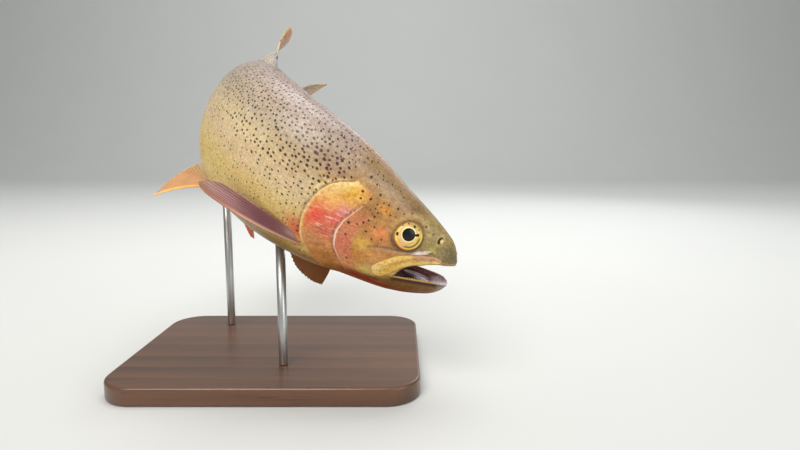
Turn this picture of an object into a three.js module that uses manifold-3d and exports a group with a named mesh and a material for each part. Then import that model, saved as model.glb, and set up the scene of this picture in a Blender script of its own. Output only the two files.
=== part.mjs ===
// Rainbow trout, a life-size still model on a plain display stand.
// Millimetres, +Z up, origin at the centre of the underside of the stand's base.
// The fish is laid out straight first: s runs from the snout to the tail, y to its left and z to
// its back. Every point is then carried onto the bent, diving spine by place().
import * as THREE from "three";
import { mergeVertices } from "three/addons/utils/BufferGeometryUtils.js";
import Module from "manifold-3d";

const wasm = await Module();
wasm.setup();

// ---- driving dimensions ----
const BODY_LENGTH = 418;        // snout to the end of the tail stem
const HEAD_LENGTH = 100;        // snout to the rear edge of the gill cover
const MOUTH_DEPTH = 36;         // snout to the corner of the gape
const GAP = 0.3;                // clearance between touching pieces
const FIN_ROOT = 2.4;           // thickness of a fin where it leaves the body
const FIN_EDGE = 0.8;           // thickness of a fin at its margin

// Body stations: s, back height, height of the widest line, belly height, half width.
const STATIONS = [
  [0, 0.8, -3.2, -8.6, 0.8],
  [2, 3.4, -2.2, -10.4, 3.4],
  [4, 6, -1.4, -14, 5.2],
  [7, 8.8, -0.8, -36.5, 7.2],
  [10, 10.8, -0.5, -38.2, 8.7],
  [20, 16.6, -0.5, -42, 12.4],
  [36, 24.6, -0.4, -45.8, 17.7],
  [50, 31, 0, -46.8, 21.3],
  [60, 36.3, 0.3, -47, 23.5],
  [75, 43.7, 0.9, -47.4, 26.1],
  [85, 47.6, 1.6, -49, 27.5],
  [100, 51.8, 2.7, -50.5, 29.1],
  [130, 56.3, 4.2, -52.3, 31.5],
  [175, 58.9, 4.8, -53.7, 33],
  [205, 58.5, 4.6, -53.7, 32.9],
  [240, 53.6, 3.2, -51.4, 30.4],
  [280, 45.9, 2.8, -43.8, 25.7],
  [320, 35.3, 2.2, -33.7, 18.4],
  [350, 27.8, 1.9, -26.2, 13.4],
  [380, 21.8, 1.5, -20.4, 9.5],
  [402, 20.5, 1.4, -19.3, 6.7],
  [418, 22, 1.4, -21, 4.5],
];
// Lower jaw stations: s, rim height, keel height, half width of its outer curve.
const JAW_STATIONS = [
  [-3.2, -23.6, -25.4, 1.2],
  [-2, -22.6, -28.2, 4.2],
  [1, -22.2, -32.4, 7.4],
  [6, -22.8, -36.4, 9.6],
  [14, -24, -40, 11.6],
  [25, -25.8, -43.6, 14.4],
  [36, -27.5, -45.8, 17.7],
];
const LIP_LINE = [
  [0, -7.8], [4, -8.3], [9, -8.5], [16, -10.2], [21, -12.4], [27, -14.6], [31, -17.8], [33.5, -20.8], [36, -25],
];
const NOSE_PUSH = 0.5;          // how far the front of the upper lip leans forward for each mm below the snout
const NOSE_DEPTH = 5;
const NOSE_LENGTH = 9;

// Pose: the snout's place, how the head is turned, and the side bend of the spine.
const SNOUT = new THREE.Vector3(140, -65.3, 103.8);
const HEAD_YAW = 0.8;           // degrees, nose towards -Y
const HEAD_PITCH = 23.4;        // degrees, nose down
const HEAD_BANK = 15.5;         // degrees, back leaning towards the right side
const SIDE_BEND = [            // s, degrees turned from the head's line
  [0, 0], [60, 0], [110, 16.6], [160, 40.7], [210, 57.9], [270, 72.5], [340, 92.4], [460, 93.8],
];
const DROOP = -11.5;            // degrees the tail is bent towards the belly side
const DROOP_START = 100;
const DROOP_LENGTH = 300;
const TWIST = [[60, 0], [80, 0], [240, -7.3], [300, -10], [480, -31]];   // s, degrees of roll gained

// Stand
const BASE = { length: 230, width: 170, height: 14, corner: 26, bevel: 2 };
const ROD_RADIUS = 3.5;
const RODS = [{ name: "front", s: 122 }, { name: "rear", s: 262 }];

// ---- helpers ----
// Monotone cubic through [x, value] knots, held straight outside them.
function curve(knots) {
  const x = knots.map((k) => k[0]);
  const v = knots.map((k) => k[1]);
  const n = x.length;
  const step = x.slice(1).map((b, i) => b - x[i]);
  const slope = step.map((h, i) => (v[i + 1] - v[i]) / h);
  const m = v.map((_, i) => {
    if (i === 0) return slope[0];
    if (i === n - 1) return slope[n - 2];
    if (slope[i - 1] * slope[i] <= 0) return 0;
    const w1 = 2 * step[i] + step[i - 1];
    const w2 = step[i] + 2 * step[i - 1];
    return (w1 + w2) / (w1 / slope[i - 1] + w2 / slope[i]);
  });
  return (t) => {
    if (t <= x[0]) return v[0] + m[0] * (t - x[0]);
    if (t >= x[n - 1]) return v[n - 1] + m[n - 1] * (t - x[n - 1]);
    let i = 0;
    while (t > x[i + 1]) i += 1;
    const h = step[i];
    const u = (t - x[i]) / h;
    return v[i] * (1 + 2 * u) * (1 - u) ** 2 + m[i] * h * u * (1 - u) ** 2
      + v[i + 1] * u * u * (3 - 2 * u) + m[i + 1] * h * u * u * (u - 1);
  };
}
const column = (table, k) => curve(table.map((row) => [row[0], row[k]]));
const backAt = column(STATIONS, 1);
const midAt = column(STATIONS, 2);
const bellyAt = column(STATIONS, 3);
const widthAt = column(STATIONS, 4);
const jawRimAt = column(JAW_STATIONS, 1);
const jawKeelAt = column(JAW_STATIONS, 2);
const jawWidthAt = column(JAW_STATIONS, 3);
const lipAt = curve(LIP_LINE);
const bendAt = curve(SIDE_BEND);
const twistAt = curve(TWIST);
const rad = THREE.MathUtils.degToRad;

// ---- spine ----
const FORWARD = new THREE.Vector3(
  Math.cos(rad(HEAD_PITCH)) * Math.cos(rad(HEAD_YAW)),
  -Math.cos(rad(HEAD_PITCH)) * Math.sin(rad(HEAD_YAW)),
  -Math.sin(rad(HEAD_PITCH)),
);
const LEVEL_RIGHT = new THREE.Vector3().crossVectors(FORWARD, new THREE.Vector3(0, 0, 1)).normalize();
const LEVEL_UP = new THREE.Vector3().crossVectors(LEVEL_RIGHT, FORWARD);
const UP = LEVEL_UP.clone().applyAxisAngle(FORWARD, rad(HEAD_BANK));
const RIGHT = new THREE.Vector3().crossVectors(FORWARD, UP);

const ramp = (s, start, length) => THREE.MathUtils.clamp((s - start) / length, 0, 1.3);
function tailward(s) {
  const angle = rad(bendAt(s));
  const droop = rad(DROOP) * ramp(s, DROOP_START, DROOP_LENGTH);
  return FORWARD.clone().multiplyScalar(-Math.cos(angle)).addScaledVector(RIGHT, -Math.sin(angle))
    .multiplyScalar(Math.cos(droop)).addScaledVector(UP, Math.sin(droop));
}
const SPINE_START = -20;
const SPINE_END = 500;
const spine = [SNOUT.clone().addScaledVector(tailward(0), SPINE_START)];
for (let s = SPINE_START; s < SPINE_END; s += 1) {
  spine.push(spine[spine.length - 1].clone().add(tailward(s + 0.5)));
}
// World point of a straight-fish point.
function place(s, y, z) {
  const along = THREE.MathUtils.clamp(s - SPINE_START, 0, spine.length - 1.001);
  const i = Math.floor(along);
  const p = spine[i].clone().lerp(spine[i + 1], along - i);
  const tail = tailward(s);
  const turn = rad(twistAt(s));
  const level = UP.clone().addScaledVector(tail, -UP.dot(tail)).normalize();
  const side = new THREE.Vector3().crossVectors(level, tail);
  const up = level.clone().multiplyScalar(Math.cos(turn)).addScaledVector(side, Math.sin(turn));
  const right = side.multiplyScalar(Math.cos(turn)).addScaledVector(level, -Math.sin(turn));
  return p.addScaledVector(right, -y).addScaledVector(up, z);
}

// ---- body surface ----
// How far the blunt front of the snout stands ahead of its section at height z.
function nosePush(s, z) {
  const near = THREE.MathUtils.smoothstep(s, 0, NOSE_LENGTH);
  return NOSE_PUSH * THREE.MathUtils.clamp(-1 - z, 0, NOSE_DEPTH) * (1 - near);
}
// Point on the body at angle a from the back line, grown outward by d. Positive a is the left side.
function surface(s, a, d = 0) {
  const mid = midAt(s);
  const half = (Math.cos(a) > 0 ? backAt(s) - mid : mid - bellyAt(s)) + d;
  const z = mid + half * Math.cos(a);
  return [s - nosePush(s, z), (widthAt(s) + d) * Math.sin(a), z];
}
function angleAtHeight(s, z) {
  const mid = midAt(s);
  const half = z > mid ? backAt(s) - mid : mid - bellyAt(s);
  return Math.acos(THREE.MathUtils.clamp((z - mid) / half, -1, 1));
}

// ---- solids ----
function toGeometry(points, faces) {
  const geometry = new THREE.BufferGeometry();
  const flat = points.flatMap(([s, y, z]) => place(s, y, z).toArray());
  geometry.setAttribute("position", new THREE.Float32BufferAttribute(flat, 3));
  geometry.setIndex(faces.flat());
  return geometry;
}
// Closed solid through rings of equal length, with flat ends.
function loft(rings) {
  const n = rings[0].length;
  const points = rings.flat();
  const faces = [];
  for (let i = 0; i < rings.length - 1; i += 1) {
    for (let j = 0; j < n; j += 1) {
      const a = i * n + j;
      const b = i * n + ((j + 1) % n);
      faces.push([a, a + n, b], [b, a + n, b + n]);
    }
  }
  for (const [first, flip] of [[0, false], [(rings.length - 1) * n, true]]) {
    const centre = points.length;
    const sum = [0, 0, 0];
    for (let j = 0; j < n; j += 1) {
      for (let k = 0; k < 3; k += 1) sum[k] += points[first + j][k] / n;
    }
    points.push(sum);
    for (let j = 0; j < n; j += 1) {
      const a = first + j;
      const b = first + ((j + 1) % n);
      faces.push(flip ? [centre, b, a] : [centre, a, b]);
    }
  }
  return outward(toGeometry(points, faces));
}
// Thin solid over a grid of points: a plate whose thickness follows thick(u, v), raised by lift.
function plate(grid, thick, lift = 0) {
  const rows = grid.length;
  const cols = grid[0].length;
  const at = (i, j) => new THREE.Vector3(...grid[i][j]);
  const points = [];
  for (const side of [1, -1]) {
    for (let i = 0; i < rows; i += 1) {
      for (let j = 0; j < cols; j += 1) {
        const du = at(Math.min(i + 1, rows - 1), j).sub(at(Math.max(i - 1, 0), j));
        const dv = at(i, Math.min(j + 1, cols - 1)).sub(at(i, Math.max(j - 1, 0)));
        const normal = du.cross(dv).normalize();
        const half = thick(i / (rows - 1), j / (cols - 1)) / 2;
        points.push(at(i, j).addScaledVector(normal, side * half + lift).toArray());
      }
    }
  }
  const faces = [];
  const top = (i, j) => i * cols + j;
  const low = (i, j) => rows * cols + i * cols + j;
  const quad = (a, b, c, d) => faces.push([a, b, c], [a, c, d]);
  for (let i = 0; i < rows - 1; i += 1) {
    for (let j = 0; j < cols - 1; j += 1) {
      quad(top(i, j), top(i + 1, j), top(i + 1, j + 1), top(i, j + 1));
      quad(low(i, j), low(i, j + 1), low(i + 1, j + 1), low(i + 1, j));
    }
    quad(top(i, 0), low(i, 0), low(i + 1, 0), top(i + 1, 0));
    quad(top(i, cols - 1), top(i + 1, cols - 1), low(i + 1, cols - 1), low(i, cols - 1));
  }
  for (let j = 0; j < cols - 1; j += 1) {
    quad(top(0, j), top(0, j + 1), low(0, j + 1), low(0, j));
    quad(top(rows - 1, j), low(rows - 1, j), low(rows - 1, j + 1), top(rows - 1, j + 1));
  }
  return outward(toGeometry(points, faces));
}
// Faces turned so that the enclosed volume is positive.
function outward(geometry) {
  const p = geometry.attributes.position;
  const index = geometry.index.array;
  const v = [new THREE.Vector3(), new THREE.Vector3(), new THREE.Vector3()];
  let volume = 0;
  for (let i = 0; i < index.length; i += 3) {
    v.forEach((q, k) => q.fromBufferAttribute(p, index[i + k]));
    volume += v[0].dot(v[1].clone().cross(v[2])) / 6;
  }
  if (volume < 0) {
    for (let i = 0; i < index.length; i += 3) {
      [index[i], index[i + 1]] = [index[i + 1], index[i]];
    }
  }
  return geometry;
}
function toSolid(geometry) {
  const bare = geometry.clone();
  bare.deleteAttribute("normal");
  bare.deleteAttribute("uv");
  const merged = mergeVertices(bare, 1e-4);
  return new wasm.Manifold(new wasm.Mesh({
    numProp: 3,
    vertProperties: new Float32Array(merged.attributes.position.array),
    triVerts: new Uint32Array(merged.index.array),
  }));
}
function fromSolid(solid) {
  const mesh = solid.getMesh();
  const geometry = new THREE.BufferGeometry();
  geometry.setAttribute("position", new THREE.BufferAttribute(mesh.vertProperties, 3));
  geometry.setIndex(new THREE.BufferAttribute(mesh.triVerts, 1));
  return geometry;
}
// The largest closed piece left when the cutters are taken away.
function cut(geometry, cutters) {
  let solid = toSolid(geometry);
  for (const cutter of cutters) solid = solid.subtract(cutter);
  const pieces = solid.decompose();
  pieces.sort((a, b) => b.volume() - a.volume());
  return fromSolid(pieces[0]);
}

// ---- body pieces ----
const RING = 32;
const LIP_INDEX = 10;           // steps from the back line to the lip line on each side
function bodyRing(s, d = 0) {
  return Array.from({ length: RING }, (_, k) => surface(s, (2 * Math.PI * k) / RING, d));
}
function bodyLoft(from, to, count, d = 0) {
  return loft(Array.from({ length: count + 1 }, (_, i) => bodyRing(from + ((to - from) * i) / count, d)));
}
// Half outline of a head section, from the back line to the keel; the mouth roof replaces the
// lower part in front of the corner of the gape.
function headHalf(s, mouth, d) {
  const lip = mouth ? angleAtHeight(s, lipAt(s)) : rad(112);
  const half = [];
  for (let k = 0; k <= LIP_INDEX; k += 1) half.push(surface(s, (lip * k) / LIP_INDEX, d));
  const steps = RING / 2 - LIP_INDEX;
  const [, lipY, lipZ] = half[LIP_INDEX];
  for (let k = 1; k <= steps; k += 1) {
    const t = k / steps;
    const arch = Math.min(5, 0.35 * lipY) * Math.sin((t * Math.PI) / 2);
    const roof = lipZ + arch;
    half.push(mouth ? [s - nosePush(s, roof), lipY * (1 - t), roof] : surface(s, lip + (Math.PI - lip) * t, d));
  }
  return half;
}
function mirrorRing(half) {
  const back = half.slice(1, -1).reverse().map(([s, y, z]) => [s, -y, z]);
  return [...half, ...back];
}
function headLoft(d = 0) {
  const open = [0.15, 1, 2, 4, 6.5, 10, 15, 20, 25, 30, 34, MOUTH_DEPTH];
  const shut = [MOUTH_DEPTH + 0.05, 42, 50, 60, 70, 80, 90, HEAD_LENGTH - GAP + d];
  return loft([
    ...open.map((s) => mirrorRing(headHalf(s, true, d))),
    ...shut.map((s) => mirrorRing(headHalf(s, false, d))),
  ]);
}
// Lower jaw: an open trough with a thick rim.
function jawLoft() {
  const stops = [-3.1, -2, 0, 3, 7, 12, 18, 25, 31, MOUTH_DEPTH - GAP];
  const outer = 6;
  const inner = 3;
  const rimWall = 2.2;
  const troughDepth = 5.5;
  return loft(stops.map((s) => {
    const mid = midAt(Math.max(s, 4));
    const drop = mid - jawKeelAt(s);
    const rimAngle = Math.acos((jawRimAt(s) - mid) / drop);
    const half = [];
    for (let k = 0; k <= outer; k += 1) {
      const a = Math.PI + ((rimAngle - Math.PI) * k) / outer;
      half.push([s, jawWidthAt(s) * Math.sin(a), mid + drop * Math.cos(a)]);
    }
    const rimY = half[outer][1];
    const insideY = Math.max(rimY - rimWall, rimY * 0.45);
    const depth = Math.min(troughDepth, 0.45 * (jawRimAt(s) - jawKeelAt(s)));
    for (let k = 0; k <= inner; k += 1) {
      const t = k / inner;
      half.push([s, insideY * (1 - t), jawRimAt(s) - depth * Math.sin((t * Math.PI) / 2)]);
    }
    return mirrorRing(half);
  }));
}

// ---- plates on the head ----
const GILL_FRONT = [[52, 71], [68, 74.6], [91, 81], [109, 81], [124, 75.5], [148, 68.5], [156, 67]];
const GILL_REAR = [[52, 81], [60, 88], [68, 94], [87, 100], [100, 101.5], [114, 100], [125, 95], [140, 86], [156, 74]];
function gillCover(side, grow = 0) {
  const front = curve(GILL_FRONT);
  const rear = curve(GILL_REAR);
  const rows = 13;
  const cols = 5;
  const grid = Array.from({ length: rows }, (_, i) => {
    const degrees = 53 + (102 * i) / (rows - 1);
    return Array.from({ length: cols }, (_, j) => {
      const s = THREE.MathUtils.lerp(front(degrees), rear(degrees), j / (cols - 1));
      const raise = 0.1 + 1.5 * (j / (cols - 1)) ** 0.7;
      return surface(s, side * rad(degrees), raise - 1);
    });
  });
  return plate(grid, () => 2.4 + 2 * grow);
}
// Upper jaw blade: s, upper edge, lower edge.
const BLADE = [
  [9, -4.4, -7.4], [14, -3.1, -8.8], [20, -3.4, -11], [26, -4.9, -13.4], [32, -6.5, -17.2], [36, -8.1, -21.4],
  [40, -10, -26.6], [43.5, -13.1, -30], [47, -16.9, -31.6], [49.5, -19.4, -30.6], [52, -23.6, -27],
];
function maxilla(side) {
  const cols = 4;
  const grid = BLADE.map(([s, high, low]) => Array.from({ length: cols }, (_, j) => {
    const z = THREE.MathUtils.lerp(high, low, j / (cols - 1));
    return surface(s, side * angleAtHeight(s, z), 0.3);
  }));
  return plate(grid, () => 2.6);
}

// ---- eyes ----
const EYE = { s: 38, z: 6.1, radius: 10.1, depth: 3.8, sink: 1.3 };
const EYE_AXIS = [-0.24, 0.94, 0.3];
function eyeGeometry(side, d = 0) {
  const [, y] = surface(EYE.s, side * angleAtHeight(EYE.s, EYE.z));
  const centre = place(EYE.s, y - side * EYE.sink, EYE.z);
  const axis = new THREE.Vector3(EYE_AXIS[0], side * EYE_AXIS[1], EYE_AXIS[2]).normalize();
  const tip = place(EYE.s + axis.x, y - side * EYE.sink + axis.y, EYE.z + axis.z);
  const geometry = new THREE.SphereGeometry(1, 20, 12);
  geometry.rotateX(Math.PI / 2);
  geometry.scale(EYE.radius + d, EYE.radius + d, EYE.depth + d);
  const turn = new THREE.Quaternion().setFromUnitVectors(
    new THREE.Vector3(0, 0, 1), tip.sub(centre).normalize());
  geometry.applyQuaternion(turn);
  geometry.translate(centre.x, centre.y, centre.z);
  return geometry;
}

// ---- tongue ----
const TONGUE = { s: 20, z: -27.4, length: 22, width: 8, height: 3, tilt: 0.06 };
function tongueGeometry() {
  const ball = new THREE.SphereGeometry(1, 14, 8);
  ball.deleteAttribute("normal");
  ball.deleteAttribute("uv");
  ball.rotateX(Math.PI / 2);
  ball.scale(TONGUE.length / 2, TONGUE.width / 2, TONGUE.height / 2);
  ball.rotateY(TONGUE.tilt);
  const points = ball.attributes.position;
  for (let i = 0; i < points.count; i += 1) {
    const v = new THREE.Vector3().fromBufferAttribute(points, i);
    const p = place(TONGUE.s + v.x, v.y, TONGUE.z + v.z);
    points.setXYZ(i, p.x, p.y, p.z);
  }
  return outward(mergeVertices(ball, 1e-4));
}

// ---- fins ----
// Rays run from root points to tip points, through a middle point or with a slight bow; the web
// between them is the fin.
function finGrid(rays, bow = [0, 0, 0], cols = 5) {
  return rays.map((ray) => {
    const root = ray[0];
    const tip = ray[ray.length - 1];
    const middle = ray.length === 3 ? ray[1] : root.map((r, k) => (r + tip[k]) / 2 + bow[k]);
    return Array.from({ length: cols }, (_, j) => {
      const t = j / (cols - 1);
      return root.map((r, k) => r * (1 - t) * (1 - 2 * t) + 4 * middle[k] * t * (1 - t) + tip[k] * t * (2 * t - 1));
    });
  });
}
function fin(rays, bow) {
  return plate(finGrid(rays, bow), (u, v) => FIN_ROOT + (FIN_EDGE - FIN_ROOT) * v);
}
const mirror = (rays, side) => rays.map((ray) => ray.map(([s, y, z]) => [s, side * y, z]));
const DORSAL = [
  [[186, 0, 55], [196.5, -4.2, 73.2], [212, 1.6, 90.6]], [[195, 0, 55.5], [206, -1, 72.5], [220.5, 6.8, 86]],
  [[205, 0, 55], [217, 1.5, 68.8], [231.5, 8.7, 78]], [[216, 0, 54], [229, 1.8, 63], [243, 6.4, 69]],
  [[227, 0, 52], [239.5, 0.4, 58], [252.5, 0.8, 61.5]], [[238, 0, 49.5], [249, -2.6, 52], [260, -6.2, 49.7]],
];
const ADIPOSE = [
  [[334, 0, 29], [347, 0, 40]], [[340, 0, 27.6], [353, 0, 40.5]], [[346, 0, 26], [357, 0, 37.6]],
  [[350, 0, 25], [356, 0, 34]],
];
const ANAL = [
  [[277, 0, -42], [293, 0, -75]], [[284, 0, -40.6], [302, 0, -75.5]], [[292, 0, -38.6], [309, 0, -68]],
  [[300, 0, -36.4], [315, 0, -59]], [[308, 0, -34], [321, 0, -50]],
];
const CAUDAL = [
  [[404, 0, 20], [440, 0, 41]], [[412, 0, 20.4], [476.5, 0, 53]], [[415, 0, 14], [472, 0, 35]],
  [[416, 0, 7], [466, 0, 17]], [[416, 0, 1], [463, 0, 1]], [[416, 0, -6], [466, 0, -15]],
  [[415, 0, -13], [472, 0, -33]], [[412, 0, -19.4], [476.5, 0, -51]], [[404, 0, -19], [440, 0, -39]],
];
const PECTORAL_FOLDED = [
  [[92, 20.5, -30.5], [151.7, 56, -18.9]], [[95, 21.6, -28.2], [152.4, 50, -17.6]],
  [[97.5, 22.4, -26], [147, 43, -16.4]], [[99.5, 23, -24], [138, 36.5, -16]],
  [[101, 23.4, -22], [127, 31.4, -16.4]],
];
const PECTORAL_SPREAD = [
  [[92, 20, -31], [83.5, 33.1, -59.4], [86.5, 39.5, -90.6]], [[95, 20.6, -29.6], [90.8, 34.5, -60.1], [95.5, 38, -90.6]],
  [[97.5, 21.2, -28.2], [101.8, 34.5, -58.4], [108, 36.8, -88.6]],
  [[99.5, 21.6, -26.8], [112.5, 33.8, -55.4], [123.5, 36, -84]],
  [[101, 22, -25.4], [119.5, 31.5, -50], [134, 33, -74.5]],
];
const PELVIC_RIGHT = [
  [[200, 9, -49.5], [205.5, 34, -62], [217, 49.6, -77.6]], [[203, 9.4, -49.3], [212, 30, -63.5], [224, 44.2, -76]],
  [[206, 9.6, -49.1], [217, 26, -60], [230, 37.3, -68.5]], [[208.5, 9.4, -49], [220.5, 20.4, -52.8], [231.5, 29.8, -51.6]],
  [[211, 9, -48.8], [219, 17, -47.2], [226.7, 24, -40.4]],
];
const PELVIC_LEFT = [
  [[200, 9, -49.5], [211.7, 42, -90.8]], [[203.5, 9.5, -49.3], [217.4, 41, -91.6]],
  [[207, 9.5, -49], [221.6, 35, -85.4]], [[210, 9, -49], [224.8, 27.5, -77]],
];

// ---- looks ----
const look = (color, roughness, metalness = 0) => new THREE.MeshStandardMaterial({ color, roughness, metalness });
const LOOKS = {
  flesh: look(0xa89878, 0.45),
  head: look(0x9c8a5c, 0.4),
  gill: look(0xc8705a, 0.4),
  jaw: look(0x8a6a3c, 0.45),
  tongue: look(0xb8938c, 0.5),
  eye: look(0xc8a850, 0.15),
  fin: look(0x8c6a5c, 0.5),
  salmon: look(0xd08458, 0.5),
  wood: look(0x5a3a26, 0.5),
  steel: look(0xb4b4b4, 0.3, 1),
};

// ---- assembly ----
const group = new THREE.Group();
function add(name, geometry, material) {
  const mesh = new THREE.Mesh(geometry, material);
  mesh.name = name;
  group.add(mesh);
}
const SIDES = [["left", 1], ["right", -1]];
const TRUNK_CUTS = [HEAD_LENGTH, 212, 322, BODY_LENGTH];
const swollenHead = toSolid(headLoft(GAP));
const swollenCovers = SIDES.map(([, side]) => toSolid(gillCover(side, GAP)));
const swollenTrunk = toSolid(bodyLoft(HEAD_LENGTH - GAP, BODY_LENGTH + GAP, 26, GAP));
const sockets = SIDES.map(([, side]) => toSolid(eyeGeometry(side, GAP)));

const head = cut(headLoft(), sockets);
const bodyCutters = [swollenTrunk, swollenHead, toSolid(head)];
add("head", head, LOOKS.head);
add("lower_jaw", jawLoft(), LOOKS.jaw);
["trunk_front", "trunk_rear", "tail_stem"].forEach((name, i) => {
  add(name, bodyLoft(TRUNK_CUTS[i], TRUNK_CUTS[i + 1] - GAP, i === 2 ? 6 : 8), LOOKS.flesh);
});
for (const [label, side] of SIDES) {
  add(`eye_${label}`, eyeGeometry(side), LOOKS.eye);
  add(`gill_cover_${label}`, cut(gillCover(side), bodyCutters), LOOKS.gill);
  add(`maxilla_${label}`, cut(maxilla(side), bodyCutters), LOOKS.jaw);
}
add("dorsal_fin", cut(fin(DORSAL), bodyCutters), LOOKS.fin);
add("adipose_fin", cut(fin(ADIPOSE), bodyCutters), LOOKS.fin);
add("anal_fin", cut(fin(ANAL), bodyCutters), LOOKS.salmon);
add("caudal_fin", cut(fin(CAUDAL), bodyCutters), LOOKS.fin);
const shoulderCutters = [...bodyCutters, ...swollenCovers];
add("pectoral_fin_right", cut(fin(mirror(PECTORAL_FOLDED, -1), [0, -4, 0]), shoulderCutters), LOOKS.fin);
add("pectoral_fin_left", cut(fin(PECTORAL_SPREAD), shoulderCutters), LOOKS.fin);
add("pelvic_fin_right", cut(fin(mirror(PELVIC_RIGHT, -1)), bodyCutters), LOOKS.salmon);
add("pelvic_fin_left", cut(fin(PELVIC_LEFT, [0, 3, 0]), bodyCutters), LOOKS.salmon);

add("tongue", tongueGeometry(), LOOKS.tongue);

// Stand: a rounded base and two rods with collars.
const outline = new THREE.Shape();
const halfL = BASE.length / 2 - BASE.bevel;
const halfW = BASE.width / 2 - BASE.bevel;
const corner = BASE.corner;
outline.moveTo(-halfL + corner, -halfW);
outline.lineTo(halfL - corner, -halfW);
outline.absarc(halfL - corner, -halfW + corner, corner, -Math.PI / 2, 0);
outline.lineTo(halfL, halfW - corner);
outline.absarc(halfL - corner, halfW - corner, corner, 0, Math.PI / 2);
outline.lineTo(-halfL + corner, halfW);
outline.absarc(-halfL + corner, halfW - corner, corner, Math.PI / 2, Math.PI);
outline.lineTo(-halfL, -halfW + corner);
outline.absarc(-halfL + corner, -halfW + corner, corner, Math.PI, 1.5 * Math.PI);
const base = new THREE.ExtrudeGeometry(outline, {
  depth: BASE.height - 2 * BASE.bevel,
  bevelThickness: BASE.bevel,
  bevelSize: BASE.bevel,
  bevelSegments: 2,
  curveSegments: 8,
});
base.translate(0, 0, BASE.bevel);
add("stand_base", base, LOOKS.wood);
for (const rod of RODS) {
  const ring = bodyRing(rod.s).map(([s, y, z]) => place(s, y, z));
  const foot = ring.reduce((low, p) => (p.z < low.z ? p : low));
  const top = foot.z + 8;
  const bottom = BASE.height + GAP;
  const shaft = new THREE.CylinderGeometry(ROD_RADIUS, ROD_RADIUS, top - bottom, 20);
  shaft.rotateX(Math.PI / 2);
  shaft.translate(foot.x, foot.y, (top + bottom) / 2);
  add(`stand_rod_${rod.name}`, cut(shaft, [swollenTrunk]), LOOKS.steel);
}

export default group;
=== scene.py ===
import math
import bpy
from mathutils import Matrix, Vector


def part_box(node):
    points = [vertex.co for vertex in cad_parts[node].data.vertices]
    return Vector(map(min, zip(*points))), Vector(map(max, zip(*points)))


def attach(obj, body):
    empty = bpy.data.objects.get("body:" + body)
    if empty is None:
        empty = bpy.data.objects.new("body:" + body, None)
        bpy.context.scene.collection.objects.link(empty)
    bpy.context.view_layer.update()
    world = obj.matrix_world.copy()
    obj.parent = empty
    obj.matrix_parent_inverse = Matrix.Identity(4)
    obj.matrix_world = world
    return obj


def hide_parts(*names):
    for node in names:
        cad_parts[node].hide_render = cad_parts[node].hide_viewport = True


bl_info = {
    "name": "Rainbow trout display model",
    "version": (1, 0, 0),
    "blender": (4, 5, 0),
    "location": "View3D > Sidebar > Trout",
    "description": "Life-size rainbow trout turning on a plain display stand",
    "category": "Object",
}

import bmesh
import bpy
import numpy as np
from mathutils import Matrix, Vector

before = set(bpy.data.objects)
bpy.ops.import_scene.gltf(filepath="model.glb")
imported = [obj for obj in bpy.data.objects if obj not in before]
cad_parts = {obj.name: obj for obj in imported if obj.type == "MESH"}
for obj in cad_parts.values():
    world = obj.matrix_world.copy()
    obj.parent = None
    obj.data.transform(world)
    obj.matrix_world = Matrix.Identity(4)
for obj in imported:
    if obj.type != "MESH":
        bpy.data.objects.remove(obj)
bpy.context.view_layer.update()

# ---- body tables, in millimetres on the straight fish ----
# s runs from the snout to the tail, y to the fish's left and z to its back.
BODY_LENGTH = 418.0
MOUTH_DEPTH = 36.0
# Rings of the body: s, height of the back, of the widest place and of the belly, and half width
STATIONS = [
    (0, 0.8, -3.2, -8.6, 0.8), (2, 3.4, -2.2, -10.4, 3.4), (4, 6, -1.4, -14, 5.2), (7, 8.8, -0.8, -36.5, 7.2),
    (10, 10.8, -0.5, -38.2, 8.7), (20, 16.6, -0.5, -42, 12.4), (36, 24.6, -0.4, -45.8, 17.7),
    (50, 31, 0, -46.8, 21.3), (60, 36.3, 0.3, -47, 23.5), (75, 43.7, 0.9, -47.4, 26.1),
    (85, 47.6, 1.6, -49, 27.5), (100, 51.8, 2.7, -50.5, 29.1), (130, 56.3, 4.2, -52.3, 31.5),
    (175, 58.9, 4.8, -53.7, 33), (205, 58.5, 4.6, -53.7, 32.9), (240, 53.6, 3.2, -51.4, 30.4),
    (280, 45.9, 2.8, -43.8, 25.7), (320, 35.3, 2.2, -33.7, 18.4), (350, 27.8, 1.9, -26.2, 13.4),
    (380, 21.8, 1.5, -20.4, 9.5), (402, 20.5, 1.4, -19.3, 6.7), (418, 22, 1.4, -21, 4.5),
]
# Rings of the lower jaw: s, height of the rim and of the keel, and half width
JAW_STATIONS = [
    (-3.2, -23.6, -25.4, 1.2), (-2, -22.6, -28.2, 4.2), (1, -22.2, -32.4, 7.4), (6, -22.8, -36.4, 9.6),
    (14, -24, -40, 11.6), (25, -25.8, -43.6, 14.4), (36, -27.5, -45.8, 17.7),
]
LIP_LINE = [
    (0, -7.8), (4, -8.3), (9, -8.5), (16, -10.2), (21, -12.4), (27, -14.6), (31, -17.8),
    (33.5, -21.2), (36, -27.5),
]
NOSE_PUSH, NOSE_DEPTH, NOSE_LENGTH = 0.5, 5, 9
# Edges of the gill cover: degrees round the body from the back, and s
GILL_FRONT = [
    (52, 70), (70, 73.4), (80, 77), (90, 80.2), (100, 81.6), (110, 80.6), (122, 76.4),
    (134, 71), (146, 67.6), (156, 66),
]
GILL_REAR = [
    (52, 81), (60, 88), (68, 94), (87, 100), (100, 101.5), (114, 100), (125, 95), (140, 86), (156, 74),
]
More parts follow.
